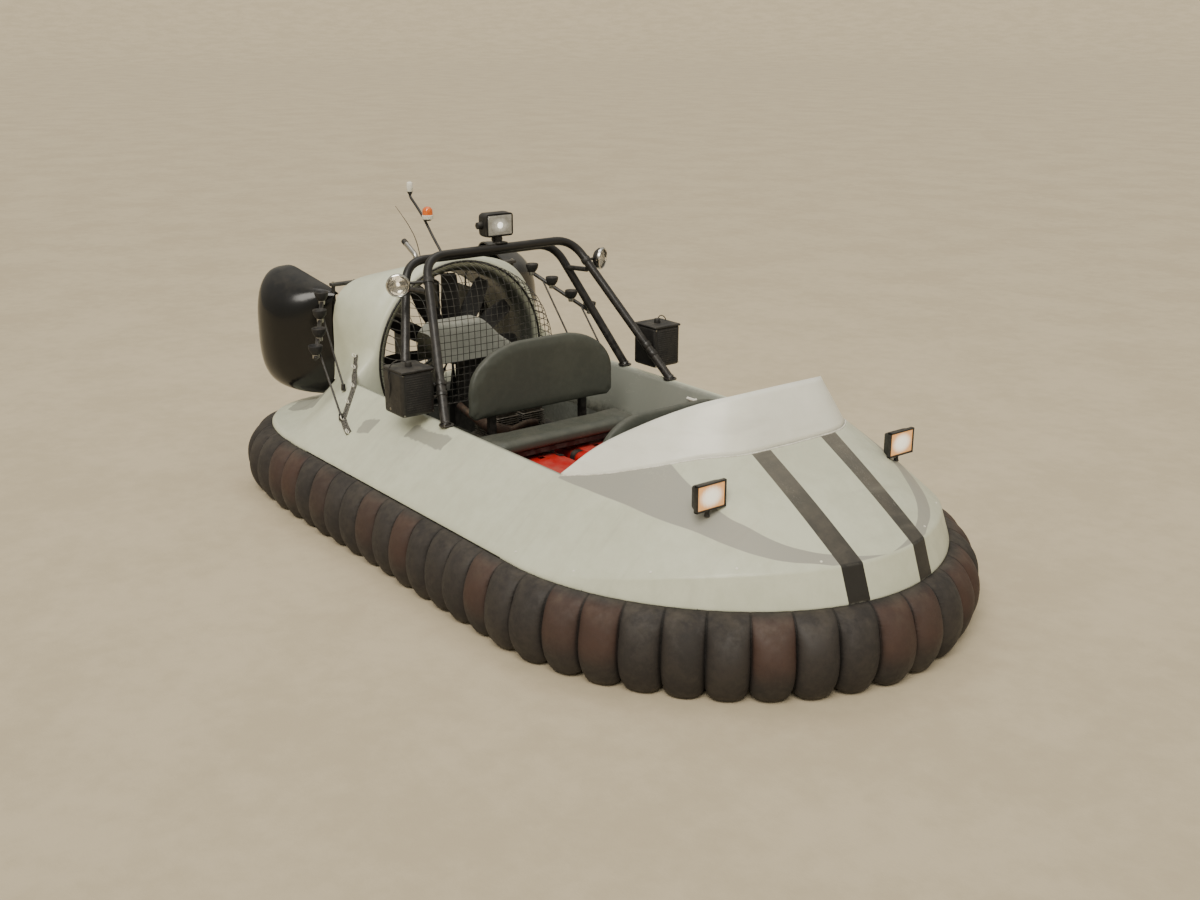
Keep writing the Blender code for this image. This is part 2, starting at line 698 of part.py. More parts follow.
def bucket_frame():
    """The flat bar on the duct's exit, from one bucket's upper pivot to the other's."""
    low = (BUCKET_PIVOT_X - 0.016, -FRAME_HALF_WIDTH, FRAME_LOW)
    high = (DUCT_EXIT_X - GAP, FRAME_HALF_WIDTH, FRAME_HIGH)
    place("bucket_frame", block(low, high, 0.003), "satin_black")


# The engine and its drive as blocks, each by its low and high corner
ENGINE_LOW, ENGINE_HIGH = (-0.98, -0.26, WELL_FLOOR + GAP), (-0.58, 0.26, 0.56)
CASE_LOW, CASE_HIGH = (DRIVE_AFT, -0.10, 0.30), (DRIVE_FORE, 0.10, 0.488)
HEAD_LOW, HEAD_HIGH = (DRIVE_AFT, -0.09, 0.45), (-1.10, 0.09, DRIVE_TOP)
COVER_LOW, COVER_HIGH = (-1.190, -0.34, DRIVE_TOP + GAP), (-1.035, 0.22, 0.965)
COVER_PORT_Z = 0.815
COVER_BEVEL = 0.035
# Where the stub of the exhaust stands on the cowl's crown, its knee and its end above the foot
STUB_FOOT = (-1.565, -0.11)
STUB_RADIUS = 0.016
STUB_KNEE = 0.057
STUB_END = (-0.135, 0.127)


def engine_bay():
    """The engine as one block, its belt drive up to the fan shaft, and the light grey cover."""
    place("engine_block", block(ENGINE_LOW, ENGINE_HIGH, 0.02), "satin_black")
    assembled("drive_housing", "satin_black", [block(CASE_LOW, CASE_HIGH), block(HEAD_LOW, HEAD_HIGH)])
    cover = block(COVER_LOW, COVER_HIGH)
    for vert in cover.verts:
        if vert.co.z > COVER_PORT_Z and vert.co.y > 0.0:
            vert.co.z = COVER_PORT_Z
    upper = [edge for edge in cover.edges if max(v.co.z for v in edge.verts) > COVER_PORT_Z - 0.01]
    bmesh.ops.bevel(cover, geom=upper, offset=COVER_BEVEL, segments=3, profile=0.5,
                    affect="EDGES", material=-1)
    place("engine_cover", cover, "cover_grey")
    x, y = STUB_FOOT
    foot = seat_height("duct_cowl", x, y, STUB_RADIUS)
    corners = [(x, y, foot), (x, y, foot + STUB_KNEE), (x + STUB_END[0], y, foot + STUB_END[1])]
    place("exhaust_stub", tube(bent_path(corners, 0.02, 2), STUB_RADIUS, 10), "metal_grey")


HOOP_RADIUS = 0.0235
FRONT_HOOP = ((-0.255, COAMING_Y, COAMING_Z), (-0.832, 0.474, 1.381))
REAR_HOOP = ((-0.658, COAMING_Y, COAMING_Z), (-1.020, 0.484, 1.331))


# The short braces between the hoops, port side: ends on the rear and the front hoop
BRACE = ((-0.950, 0.5245, 1.20), (-0.752, 0.5245, 1.215))
FLANGE_RADIUS, FLANGE_HEIGHT = 0.038, 0.008
HOOP_BASE = COAMING_Z + GAP


def hoop_parts(foot, corner):
    """A hoop's tube with its flanges on the side decks' coamings."""
    foot = (foot[0], foot[1], HOOP_BASE)
    path = bent_path([foot, corner, mirrored(corner, -1), mirrored(foot, -1)], 0.12, 5)
    flanges = []
    for sign in (1, -1):
        spot = Vector((foot[0], sign * (foot[1] - 0.005), HOOP_BASE))
        flanges.append(bar(spot, spot + Vector((0, 0, FLANGE_HEIGHT)), FLANGE_RADIUS, 14))
    return [tube(path, HOOP_RADIUS, 12), joined(*flanges)]


def roll_hoops():
    """The cage's two bent tubes, the rear one with the short braces between them."""
    for name, (foot, corner), braced in (("front", FRONT_HOOP, False), ("rear", REAR_HOOP, True)):
        parts = hoop_parts(foot, corner)
        if braced:
            braces = [bar(mirrored(BRACE[0], sign), mirrored(BRACE[1], sign), 0.014, 8) for sign in (1, -1)]
            parts.append(joined(*braces))
        hoop = assembled(f"roll_hoop_{name}", "satin_black", parts)
        low = block((-2, -2, HOOP_BASE - 0.2), (2, 2, HOOP_BASE))
        combine(hoop, place(f"roll_hoop_{name}_foot_cutter", low, "satin_black", guide=True), "DIFFERENCE")


def hoop_point(hoop, z):
    """The centre of a hoop's port leg at a height."""
    (x0, y0, z0), (x1, y1, z1) = hoop
    share = (z - z0) / (z1 - z0)
    return Vector((x0 + (x1 - x0) * share, y0 + (y1 - y0) * share, z))


def leg_bracket(hoop, z, target, sign, radius=0.010):
    """A bar from a hoop leg's surface square off to a fitting's centre."""
    (x0, y0, z0), (x1, y1, z1) = hoop
    axis = Vector((x1 - x0, y1 - y0, z1 - z0)).normalized()
    target = Vector(target)
    at = hoop_point(hoop, z)
    near = at + axis * (target - at).dot(axis)
    off = (target - near).normalized()
    start = near + off * (HOOP_RADIUS + 0.0004)
    return bar(mirrored(start, sign), mirrored(target, sign), radius, 8)


SPEAKER_MIDDLE = Vector((-0.4675, 0.810, 0.80))
SPEAKER_HALF = Vector((0.0975, 0.095, 0.12))
SPEAKER_BRACKET_Z = 0.85
ROUND_LAMP = Vector((-0.811, 0.655, 1.258))
# The round lamps look ahead and outward
ROUND_LAMP_AIM = Vector((0.86, 0.50, -0.08)).normalized()
ROUND_LAMP_RADIUS = 0.063
ROUND_LAMP_HALF_DEPTH = 0.028
ROUND_LAMP_STALK_Z = 1.23
SEARCHLIGHT_LOW, SEARCHLIGHT_HIGH = (-0.935, -0.090, 1.436), (-0.835, 0.090, 1.570)
SEARCHLIGHT_X = -0.840
KNOB_X, KNOB_Z, KNOB_RADIUS = -0.885, 1.500, 0.020


def speakers():
    """A boxed speaker with a knob on top, on a bracket from each front leg."""
    for side, sign in SIDES:
        middle = Vector(mirrored(SPEAKER_MIDDLE, sign))
        box = block(middle - SPEAKER_HALF, middle + SPEAKER_HALF, 0.015)
        top = middle + Vector((0, 0, SPEAKER_HALF.z))
        knob = bar(top - Vector((0, 0, 0.005)), top + Vector((0, 0, 0.025)), 0.02, 10)
        bracket = leg_bracket(FRONT_HOOP, SPEAKER_BRACKET_Z, SPEAKER_MIDDLE, sign)
        assembled(f"speaker_{side}", "satin_black", [box, knob, bracket])


def round_lamps():
    """A round lamp beside each corner of the front hoop."""
    reach = ROUND_LAMP_AIM * ROUND_LAMP_HALF_DEPTH
    for side, sign in SIDES:
        back, face = mirrored(ROUND_LAMP - reach, sign), mirrored(ROUND_LAMP + reach, sign)
        head = bar(back, face, ROUND_LAMP_RADIUS, 18)
        stalk = leg_bracket(FRONT_HOOP, ROUND_LAMP_STALK_Z, ROUND_LAMP - reach * 0.4, sign, 0.008)
        assembled(f"round_lamp_{side}", "lamp_glass", [head, stalk])


def searchlight():
    """The square searchlight on its foot on the front hoop."""
    top = FRONT_HOOP[1][2] + HOOP_RADIUS + 0.0004
    housing = block(SEARCHLIGHT_LOW, SEARCHLIGHT_HIGH, 0.022, 2)
    foot = block((SEARCHLIGHT_X - 0.022, -0.03, top), (SEARCHLIGHT_X + 0.022, 0.03, top + 0.006))
    post = bar((SEARCHLIGHT_X - 0.010, 0, top + 0.003), (SEARCHLIGHT_X - 0.030, 0, 1.44), 0.012, 10)
    knob_y = SEARCHLIGHT_LOW[1]
    knob = bar((KNOB_X, knob_y + 0.005, KNOB_Z), (KNOB_X, knob_y - 0.030, KNOB_Z), KNOB_RADIUS, 10)
    assembled("searchlight", "satin_black", [housing, foot, post, knob])


# A headlamp's lens middle, its half width and height, its depth and how far its back narrows
HEADLAMP_FACE = Vector((1.531, 0.577, 0.752))
HEADLAMP_HALF_Y, HEADLAMP_HALF_Z = 0.080, 0.059
HEADLAMP_DEPTH, HEADLAMP_BEZEL = 0.056, 0.018
HEADLAMP_BACK_SHARE = 0.66
HEADLAMP_STALK_X = 1.503


def headlamp_housing(sign):
    """A lamp's housing: an upright oblong face that narrows to its back."""
    rings = []
    for depth, share in ((0.0, 1.0), (HEADLAMP_BEZEL, 1.0), (HEADLAMP_DEPTH, HEADLAMP_BACK_SHARE)):
        half_y, half_z = HEADLAMP_HALF_Y * share, HEADLAMP_HALF_Z * share
        x, y, z = HEADLAMP_FACE - Vector((depth, 0, 0))
        corners = ((-half_y, -half_z), (half_y, -half_z), (half_y, half_z), (-half_y, half_z))
        rings.append([(x, (y + dy) * sign, z + dz) for dy, dz in corners])
    return loft(rings)


def headlamps():
    """Two oblong lamps on short stalks from the hood."""
    for side, sign in SIDES:
        y = HEADLAMP_FACE.y * sign
        hood = seat_height("foredeck", HEADLAMP_STALK_X, y, 0.012)
        stalk = bar((HEADLAMP_STALK_X, y, hood), (HEADLAMP_STALK_X, y, HEADLAMP_FACE.z - 0.04), 0.012, 10)
        assembled(f"headlamp_{side}", "lamp_glass", [headlamp_housing(sign), stalk])


# The screen's top edge, port half: place, distance across, height
SCREEN_TOP = [(0.705, 0.722, 0.660), (0.826, 0.610, 0.795), (1.03, 0.50, 0.93), (1.20, 0.375, 1.025),
              (1.300, 0.235, 1.066), (1.318, 0.0, 1.074)]
SCREEN_SET_BACK = 0.010
SCREEN_WALL = 0.004
SCREEN_LIFT = 0.0008


def windscreen():
    """The low wrap-round screen, leaning back from its foot on the hood's rim."""
    top = spaced([Vector(p) for p in SCREEN_TOP], DECK_STEPS)
    top += [Vector(mirrored(p, -1)) for p in reversed(top[:-1])]
    rings = []
    for (rim, inward), high in zip(deck_rim(), top):
        foot = []
        for inset in (SCREEN_SET_BACK, SCREEN_SET_BACK + SCREEN_WALL):
            fall = RIM_FALL * inset / OPENING_INSET
            x, y = rim.x + inward.x * inset, rim.y + inward.y * inset
            foot.append(Vector((x, y, rim.z - fall + SCREEN_LIFT)))
        high_in = high + Vector((inward.x, inward.y, 0.0)) * SCREEN_WALL
        rings.append([foot[0], high, high_in, foot[1]])
    place("windscreen", loft(rings), "screen_white")


BENCHES = (
    # name, back's middle plane, half width, back's lower and upper edge, shoulder, cushion's depth
    ("rear", -0.46, 0.48, 0.556, 0.972, 0.27, 0.24),
    ("front", 0.60, 0.44, 0.520, 0.830, 0.20, 0.28),
)
BENCH_SHELF = 0.405
CUSHION_LOW, CUSHION_TOP = 0.4303, 0.500
CUSHION_CORNER = 0.09
BACK_HALF_THICKNESS = 0.03
BENCH_LEG_Y, BENCH_STRUT_Y = 0.38, 0.30
FLOOR = WELL_FLOOR + GAP
TANK_AFT, TANK_FORE, TANK_TOP = -0.42, 0.12, 0.385
TANK_INNER_Y, TANK_OUTER_Y = 0.02, 0.34
RAIL_AFT, RAIL_FORE, RAIL_Y, RAIL_Z = -0.02, 0.42, 0.655, 0.600
DASH_LOW, DASH_HIGH = (1.24, -0.40, FLOOR), (1.345, 0.40, 0.775)


def bench_back(x, half, low, high, shoulder):
    """An upright pad whose upper corners are broad arcs."""
    bm = block((x - BACK_HALF_THICKNESS, -half, low), (x + BACK_HALF_THICKNESS, half, high))
    corners = [edge for edge in bm.edges
               if abs(edge.verts[0].co.x - edge.verts[1].co.x) > BACK_HALF_THICKNESS
               and min(vert.co.z for vert in edge.verts) > high - 0.01]
    bmesh.ops.bevel(bm, geom=corners, offset=shoulder, segments=8, profile=0.5, affect="EDGES", material=-1)
    rim = [edge for edge in bm.edges if abs(edge.verts[0].co.x - edge.verts[1].co.x) < 0.001]
    bmesh.ops.bevel(bm, geom=rim, offset=0.018, segments=2, profile=0.5, affect="EDGES", material=-1)
    return bm


def bench_cushion(fore, depth, half):
    """A flat pad with rounded front corners."""
    bm = block((fore, -half, CUSHION_LOW), (fore + depth, half, CUSHION_TOP))
    upright = [edge for edge in bm.edges if abs(edge.verts[0].co.z - edge.verts[1].co.z) > 0.01
               and edge.verts[0].co.x > fore + depth / 2]
    bmesh.ops.bevel(bm, geom=upright, offset=CUSHION_CORNER, segments=4, profile=0.5,
                    affect="EDGES", material=-1)
    rims = [edge for edge in bm.edges if abs(edge.verts[0].co.z - edge.verts[1].co.z) < 0.001]
    bmesh.ops.bevel(bm, geom=rims, offset=0.02, segments=2, profile=0.5, affect="EDGES", material=-1)
    return bm


def bench(name, x, half, low, high, shoulder, depth):
    """A bench: its shelf on two legs, its cushion, and its back on two struts."""
    fore = x + BACK_HALF_THICKNESS + 0.003
    aft = x - BACK_HALF_THICKNESS - 0.018
    shelf = block((fore, -half + 0.06, BENCH_SHELF), (fore + depth - 0.03, half - 0.06, CUSHION_LOW - GAP))
    legs, struts = [], []
    for sign in (-1, 1):
        y = BENCH_LEG_Y * sign
        top = (fore + depth - 0.05, y + 0.02, BENCH_SHELF + 0.005)
        legs.append(block((fore + 0.02, y - 0.02, FLOOR), top))
        y = BENCH_STRUT_Y * sign
        struts.append(block((aft - 0.012, y - 0.02, FLOOR), (aft + 0.0177, y + 0.02, high - 0.17)))
    assembled(f"{name}_seat_base", "metal_grey", [shelf, joined(*legs)])
    place(f"{name}_bench_cushion", bench_cushion(fore, depth, half), "seat_vinyl")
    place(f"{name}_seat_back", bench_back(x, half, low, high, shoulder), "seat_vinyl")
    tie = block((aft - 0.010, -BENCH_STRUT_Y, 0.30), (aft + 0.010, BENCH_STRUT_Y, 0.33))
    assembled(f"{name}_seat_struts", "satin_black", [tie, joined(*struts)])


def cockpit():
    """Seats, tanks, rails and the dash inside the cockpit."""
    for row in BENCHES:
        bench(*row)
    for side, sign in SIDES:
        low_y, high_y = sorted((sign * TANK_INNER_Y, sign * TANK_OUTER_Y))
        tank = block((TANK_AFT, low_y, FLOOR), (TANK_FORE, high_y, TANK_TOP), 0.03, 2)
        place(f"fuel_tank_{side}", tank, "tank_red")
        y = RAIL_Y * sign
        rail = tube([(RAIL_AFT, y, RAIL_Z), (RAIL_FORE, y, RAIL_Z)], 0.009, 8)
        stubs = [bar((x, y, RAIL_Z), (x, sign * 0.6742, RAIL_Z), 0.007, 8)
                 for x in (RAIL_AFT + 0.05, RAIL_FORE - 0.05)]
        assembled(f"grab_rail_{side}", "lamp_white", [rail, joined(*stubs)])
    place("dash_console", block(DASH_LOW, DASH_HIGH, 0.012), "satin_black")


STEER_TOP = (1.06, 0.0, 0.745)
STEER_FOOT = (1.17, 0.0, WELL_FLOOR)
GRIP_RADIUS = 0.013
COLUMN_RADIUS, STEM_RADIUS = 0.022, 0.020


def steering():
    """The handlebar on its raked column, which works the rudders."""
    foot, top = Vector(STEER_FOOT), Vector(STEER_TOP)
    rake = (top - foot).normalized()
    column = bar(foot + Vector((0, 0, 0.009)), top - rake * 0.04, COLUMN_RADIUS, 12)
    plate = block((foot.x - 0.06, -0.06, foot.z + GAP), (foot.x + 0.06, 0.06, foot.z + 0.012))
    assembled("steering_column", "satin_black", [column, plate])
    stem = bar(top - rake * 0.0395, top + rake * 0.012, STEM_RADIUS, 12)
    shape = [(top.x - 0.08, 0.34, 0.76), (top.x - 0.025, 0.20, 0.76), top, (top.x - 0.025, -0.20, 0.76),
             (top.x - 0.08, -0.34, 0.76)]
    grips = tube(bent_path(shape, 0.03, 2), GRIP_RADIUS, 10)
    assembled("handlebar", "satin_black", [grips, stem], STEER_TOP)


# Port rack cradles from aft to fore: place, distance across, height
RACK_CRADLES = [(-1.576, 0.720, 1.053), (-1.464, 0.791, 0.979), (-1.352, 0.857, 0.905),
                (-1.259, 0.928, 0.836)]
CRADLE_LOW, CRADLE_HIGH = -0.016, 0.055
CRADLE_LOW_RADIUS, CRADLE_HIGH_RADIUS = 0.018, 0.034
STAY_RADIUS, SHOE_RADIUS = 0.006, 0.014
# Each stay: its upper end, and its foot in plan on the side deck
RACK_STAYS = [((-1.520, 0.756, 1.016), (-1.244, 0.785)), ((-1.305, 0.893, 0.870), (-1.040, 0.911))]


def side_racks():
    """A raised rail with four cradles each side, on two thin stays from the deck."""
    for side, sign in SIDES:
        start, end = Vector(RACK_CRADLES[0]), Vector(RACK_CRADLES[-1])
        reach = (end - start).normalized() * 0.03
        rail = bar(mirrored(start - reach, sign), mirrored(end + reach, sign), 0.012, 8)
        cradles = []
        for x, y, z in RACK_CRADLES:
            low, high = mirrored((x, y, z + CRADLE_LOW), sign), mirrored((x, y, z + CRADLE_HIGH), sign)
            cradles.append(bar(low, high, CRADLE_LOW_RADIUS, 8, CRADLE_HIGH_RADIUS))
        stays, shoes = [], []
        for high, (x, y) in RACK_STAYS:
            low_z = seat_height(f"side_deck_{side}", x, y * sign, SHOE_RADIUS + 0.0002)
            stays.append(bar(mirrored(high, sign), (x, y * sign, low_z + 0.022), STAY_RADIUS, 8))
            shoes.append(bar((x, y * sign, low_z), (x, y * sign, low_z + 0.034), SHOE_RADIUS, 10))
        parts = [rail, joined(*cradles), joined(*stays), joined(*shoes)]
        assembled(f"side_rack_{side}", "satin_black", parts)


MAST_FOOT_X = -1.436
# The mast's pole above its foot: place along the craft, height
MAST_BENDS = [(-1.650, 1.45), (-1.790, 1.555), (-1.795, 1.585)]
BEACON_X, BEACON_LOW, BEACON_HIGH = -1.600, 1.4483, 1.52
MASTHEAD_LOW, MASTHEAD_HIGH = 1.5867, 1.645


def mast():
    """The raked light mast on the duct's crown, its beacon and its top lamp."""
    crown = seat_height("duct_cowl", MAST_FOOT_X, 0.0, 0.025)
    points = [(MAST_FOOT_X, 0, crown + 0.004), (MAST_FOOT_X - 0.018, 0, crown + 0.03)]
    pole = tube(points + [(x, 0, z) for x, z in MAST_BENDS], 0.008, 8)
    foot = bar((MAST_FOOT_X, 0, crown), (MAST_FOOT_X, 0, crown + 0.010), 0.025, 12)
    arm = bar((BEACON_X - 0.040, 0, BEACON_LOW - 0.0063), (BEACON_X, 0, BEACON_LOW - 0.0063), 0.006, 8)
    assembled("mast", "satin_black", [pole, foot, arm])
    place("beacon", bar((BEACON_X, 0, BEACON_LOW), (BEACON_X, 0, BEACON_HIGH), 0.030, 16), "beacon_amber")
    top = MAST_BENDS[-1][0]
    place("masthead_lamp", bar((top, 0, MASTHEAD_LOW), (top, 0, MASTHEAD_HIGH), 0.020, 12), "lamp_white")


hull_tub()
skirt()
landing_skids()
foredeck()
side_decks()
aft_deck()
thrust_floor()
duct_cowl()
fan_guard()
fan()
shaft_support()
rudders()
reverse_buckets()
bucket_frame()
engine_bay()
roll_hoops()
speakers()
round_lamps()
searchlight()
headlamps()
windscreen()
cockpit()
steering()
side_racks()
mast()
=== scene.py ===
"""The looks of a light four-seat hovercraft, parked on its landing skids.

The frame is metres with +X to the nose, +Y to port and +Z up, on the ground below its middle.
"""
import random
from math import cos, hypot, pi, radians, sin, sqrt

import bmesh
import bpy
from mathutils import Matrix, Vector, noise


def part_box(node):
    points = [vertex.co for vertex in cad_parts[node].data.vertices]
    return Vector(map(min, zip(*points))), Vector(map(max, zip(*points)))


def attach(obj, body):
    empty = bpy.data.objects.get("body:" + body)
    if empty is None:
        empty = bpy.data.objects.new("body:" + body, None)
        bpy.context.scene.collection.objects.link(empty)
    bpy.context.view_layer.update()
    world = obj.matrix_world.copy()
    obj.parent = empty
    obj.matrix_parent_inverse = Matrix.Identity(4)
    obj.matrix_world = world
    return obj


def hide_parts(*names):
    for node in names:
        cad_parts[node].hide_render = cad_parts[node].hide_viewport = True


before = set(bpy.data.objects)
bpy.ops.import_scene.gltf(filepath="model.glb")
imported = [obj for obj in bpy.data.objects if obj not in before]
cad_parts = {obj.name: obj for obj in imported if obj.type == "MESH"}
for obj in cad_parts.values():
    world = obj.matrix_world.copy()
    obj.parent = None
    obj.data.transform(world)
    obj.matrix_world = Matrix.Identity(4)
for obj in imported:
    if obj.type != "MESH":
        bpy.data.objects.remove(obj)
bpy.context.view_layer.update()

# Driving dimensions, as in the solids
HULL_HALF_LENGTH = 2.035
HULL_HALF_BEAM = 1.085
GUNWALE_Z = 0.367
COAMING_Y, COAMING_Z = 0.734, 0.645
SIDE_FORE, SIDE_AFT = 0.71, -1.26
AFT_DECK_Z = 0.44
SHAFT_Z = 0.70
DUCT_BORE = 0.475
DUCT_EXIT_X = -1.615
DUCT_EXIT_BORE = 0.445
FAN_X = -1.38
FAN_RADIUS = 0.462
FINGERS = 66
SIDES = (("port", 1), ("starboard", -1))
UP = Vector((0, 0, 1))
AHEAD = Vector((1, 0, 0))

# The deck's rows: edge and band up to the kink, the slope, and the turn into the cockpit
ROWS_TO_KINK, TURN_ROWS = 7, 7
SLOPE_SHARES = (0.02, 0.06, 0.12, 0.20, 0.29, 0.38, 0.48, 0.58, 0.68, 0.77, 0.85, 0.91, 0.955, 0.985, 1.0)
KINK_ROW_SHARE = (ROWS_TO_KINK - 0.5) / (ROWS_TO_KINK + len(SLOPE_SHARES) + TURN_ROWS - 1)

HEADLAMP_FACE = Vector((1.531, 0.577, 0.752))
HEADLAMP_HALF_Y, HEADLAMP_HALF_Z = 0.080, 0.059


# Shader helpers


class Signal:
    """A value in a shader; sums and products of signals become math nodes."""

    def __init__(self, tree, socket):
        self.tree, self.socket = tree, socket

    def maths(self, operation, *values, clamp=False):
        sockets = dict(enumerate((self, *values)))
        return node(self.tree, "ShaderNodeMath", 0, sockets, operation=operation, use_clamp=clamp)

    def __add__(self, other):
        return self.maths("ADD", other)

    def __sub__(self, other):
        return self.maths("SUBTRACT", other)

    def __rsub__(self, other):
        return node(self.tree, "ShaderNodeMath", 0, {0: other, 1: self}, operation="SUBTRACT")

    def __mul__(self, other):
        return self.maths("MULTIPLY", other)

    def __truediv__(self, other):
        return self.maths("DIVIDE", other)

    def __abs__(self):
        return self.maths("ABSOLUTE")

    def sine(self):
        return self.maths("SINE")


def wire(made, sockets):
    """Give a node's sockets their values or links."""
    for key, value in sockets.items():
        if isinstance(value, Signal):
            value.tree.links.new(value.socket, made.inputs[key])
        else:
            made.inputs[key].default_value = value


def node(tree, kind, output, sockets=None, **settings):
    """One output of a new shader node with its settings and sockets."""
    made = tree.nodes.new(kind)
    for key, value in settings.items():
        setattr(made, key, value)
    wire(made, sockets or {})
    return Signal(tree, made.outputs[output])


def tone(colour):
    """A colour given as screen values from 0 to 255."""
    linear = [c / 255 / 12.92 if c <= 10 else ((c / 255 + 0.055) / 1.055) ** 2.4 for c in colour]
    return (*linear, 1.0)


def between(value, low, high):
    """A soft step that is 0 at low and 1 at high."""
    sockets = {"Value": value, "From Min": low, "From Max": high}
    return node(value.tree, "ShaderNodeMapRange", "Result", sockets, interpolation_type="SMOOTHSTEP")


def blend(share, first, second):
    """One colour mixed into another, each a signal or screen values."""
    first, second = (colour if isinstance(colour, Signal) else tone(colour) for colour in (first, second))
    return node(share.tree, "ShaderNodeMix", 2, {0: share, 6: first, 7: second}, data_type="RGBA")


def cloud(place, scale, detail=3.0, rough=0.55):
    """Noise over the surface, about one half on average."""
    sockets = {"Vector": place, "Scale": scale, "Detail": detail, "Roughness": rough}
    return node(place.tree, "ShaderNodeTexNoise", "Fac", sockets)


def stretched(place, scale):
    """The place scaled by its own amount each way."""
    return node(place.tree, "ShaderNodeMapping", "Vector", {"Vector": place, "Scale": scale})


def parted(vector):
    """The x, y and z of a place."""
    first = node(vector.tree, "ShaderNodeSeparateXYZ", 0, {"Vector": vector})
    return [Signal(first.tree, socket) for socket in first.socket.node.outputs]


def chart(tree):
    """The piece's own map."""
    return node(tree, "ShaderNodeTexCoord", "UV")


def bumped(height, depth, strength):
    """A surface's normal with a height laid on it."""
    sockets = {"Height": height, "Distance": depth, "Strength": strength}
    return node(height.tree, "ShaderNodeBump", "Normal", sockets)


def effect(name, fill, **inputs):
    """A shader group that several finishes share: from a place, and perhaps one more value, to one result."""
    tree = bpy.data.node_groups.new(name, "ShaderNodeTree")
    tree.interface.new_socket("Place", in_out="INPUT", socket_type="NodeSocketVector")
    for label, value in inputs.items():
        socket = tree.interface.new_socket(label, in_out="INPUT", socket_type="NodeSocketFloat")
        socket.default_value = value
    tree.interface.new_socket("Result", in_out="OUTPUT", socket_type="NodeSocketFloat")
    given = tree.nodes.new("NodeGroupInput").outputs
    result = fill(*[Signal(tree, given[i]) for i in range(1 + len(inputs))])
    wire(tree.nodes.new("NodeGroupOutput"), {"Result": result})
    return tree


def placed(group, place, *value):
    """One shared effect, placed in a material with its own value."""
    return node(place.tree, "ShaderNodeGroup", 0, dict(enumerate((place, *value))), node_tree=group)


def fill_blotches(place, scale):
    both = cloud(place, scale * 6.5, 5.0, 0.65) * 0.45 + cloud(place, scale) * 0.55
    return between(both, 0.38, 0.62)


def fill_rubbed_edges(place, scale):
    sharp = node(place.tree, "ShaderNodeNewGeometry", "Pointiness")
    return between(sharp, 0.515, 0.58) * between(cloud(place, scale, 5.0, 0.7), 0.40, 0.60)


def fill_dust(place, reach):
    facing = parted(node(place.tree, "ShaderNodeNewGeometry", "Normal"))[2]
    low = 1.0 - between(parted(place)[2], 0.0, reach)
    lying = between(facing, 0.2, 1.0).maths("MAXIMUM", low)
    return lying * between(cloud(place, 11.0, 6.0, 0.68), 0.36, 0.68)


def fill_grain(place, scale):
    return cloud(place, scale * 0.13, 3.0, 0.5) * 0.9 + cloud(place, scale, 2.0, 0.5)


def fill_scratches(place):
    line = abs(cloud(stretched(place, (7.0, 46.0, 46.0)), 1.3, 2.0) - 0.5)
    return (1.0 - between(line, 0.0, 0.008)) * between(cloud(place, 3.0, 2.0), 0.50, 0.62)


BLOTCHES = effect("blotches", fill_blotches, Scale=3.0)
RUBBED_EDGES = effect("rubbed_edges", fill_rubbed_edges, Scale=30.0)
DUST = effect("dust", fill_dust, Reach=0.3)
GRAIN = effect("grain", fill_grain, Scale=300.0)
SCRATCHES = effect("scratches", fill_scratches)
DUST_TONE = (176, 162, 138)


def new_finish(name):
    """An empty material with its shader, and the place on the piece."""
    made = bpy.data.materials.new(name)
    made.use_nodes = True
    tree = made.node_tree
    tree.nodes.clear()
    shader = tree.nodes.new("ShaderNodeBsdfPrincipled")
    wire(tree.nodes.new("ShaderNodeOutputMaterial"), {"Surface": Signal(tree, shader.outputs["BSDF"])})
    return made, shader, node(tree, "ShaderNodeTexCoord", "Object")


def surface(name, first, second, rough, metallic=0.0, spread=3.0, dust=0.0, rubbed=0.0, bare=(150, 146, 138),
            grain=300.0, depth=0.0002, coat=0.0, scratched=0.0, marks=None, reach=0.3):
    """A finish of two near tones with grain, and as much dust, wear and scratching as it is given."""
    made, shader, place = new_finish(name)
    patchy = placed(BLOTCHES, place, spread)
    colour = blend(patchy, first, second)
    gloss = patchy * (rough[1] - rough[0]) + rough[0]
    height = placed(GRAIN, place, grain)
    if marks:
        colour, gloss, height = marks(place, colour, gloss, height)
    if scratched:
        colour = blend(placed(SCRATCHES, place) * scratched, colour, bare)
    if rubbed:
        colour = blend(placed(RUBBED_EDGES, place) * rubbed, colour, bare)
    if dust:
        lying = placed(DUST, place, reach) * dust
        colour = blend(lying, colour, DUST_TONE)
        gloss = (lying * 0.5).maths("ADD", gloss, clamp=True)
    wire(shader, {"Base Color": colour, "Roughness": gloss, "Metallic": metallic, "Coat Weight": coat,
                  "Normal": bumped(height, depth, 0.7)})
    return made


def glowing(name, colour, light, strength, middle, half):
    """A lit ribbed lens: white round its middle, warmer to its rim; the two sides mirror each other."""
    made, shader, place = new_finish(name)
    _, y, z = parted(place)
    across = abs(y) - middle[0]
    ribs = (across * 820.0).sine()
    aside = across / half[0]
    above = (z - middle[1]) / half[1]
    shade = blend(between(ribs * 0.10 + (above * above + aside * aside), 0.75, 0.05), colour, light)
    wire(shader, {"Base Color": shade, "Emission Color": shade, "Emission Strength": strength,
                  "Roughness": 0.12, "Coat Weight": 0.6, "Normal": bumped(ribs, 0.0004, 0.5)})
    return made


def clear_lens(name, colour, rough):
    """Clear plastic or glass with moulded ribs."""
    made, shader, place = new_finish(name)
    ribs = (parted(place)[1] * 700.0).sine()
    shade = blend(placed(BLOTCHES, place, 40.0), colour, [c * 0.9 for c in colour])
    wire(shader, {"Base Color": shade, "Transmission Weight": 0.92, "Roughness": rough, "IOR": 1.49,
                  "Normal": bumped(ribs, 0.0003, 0.4)})
    return made


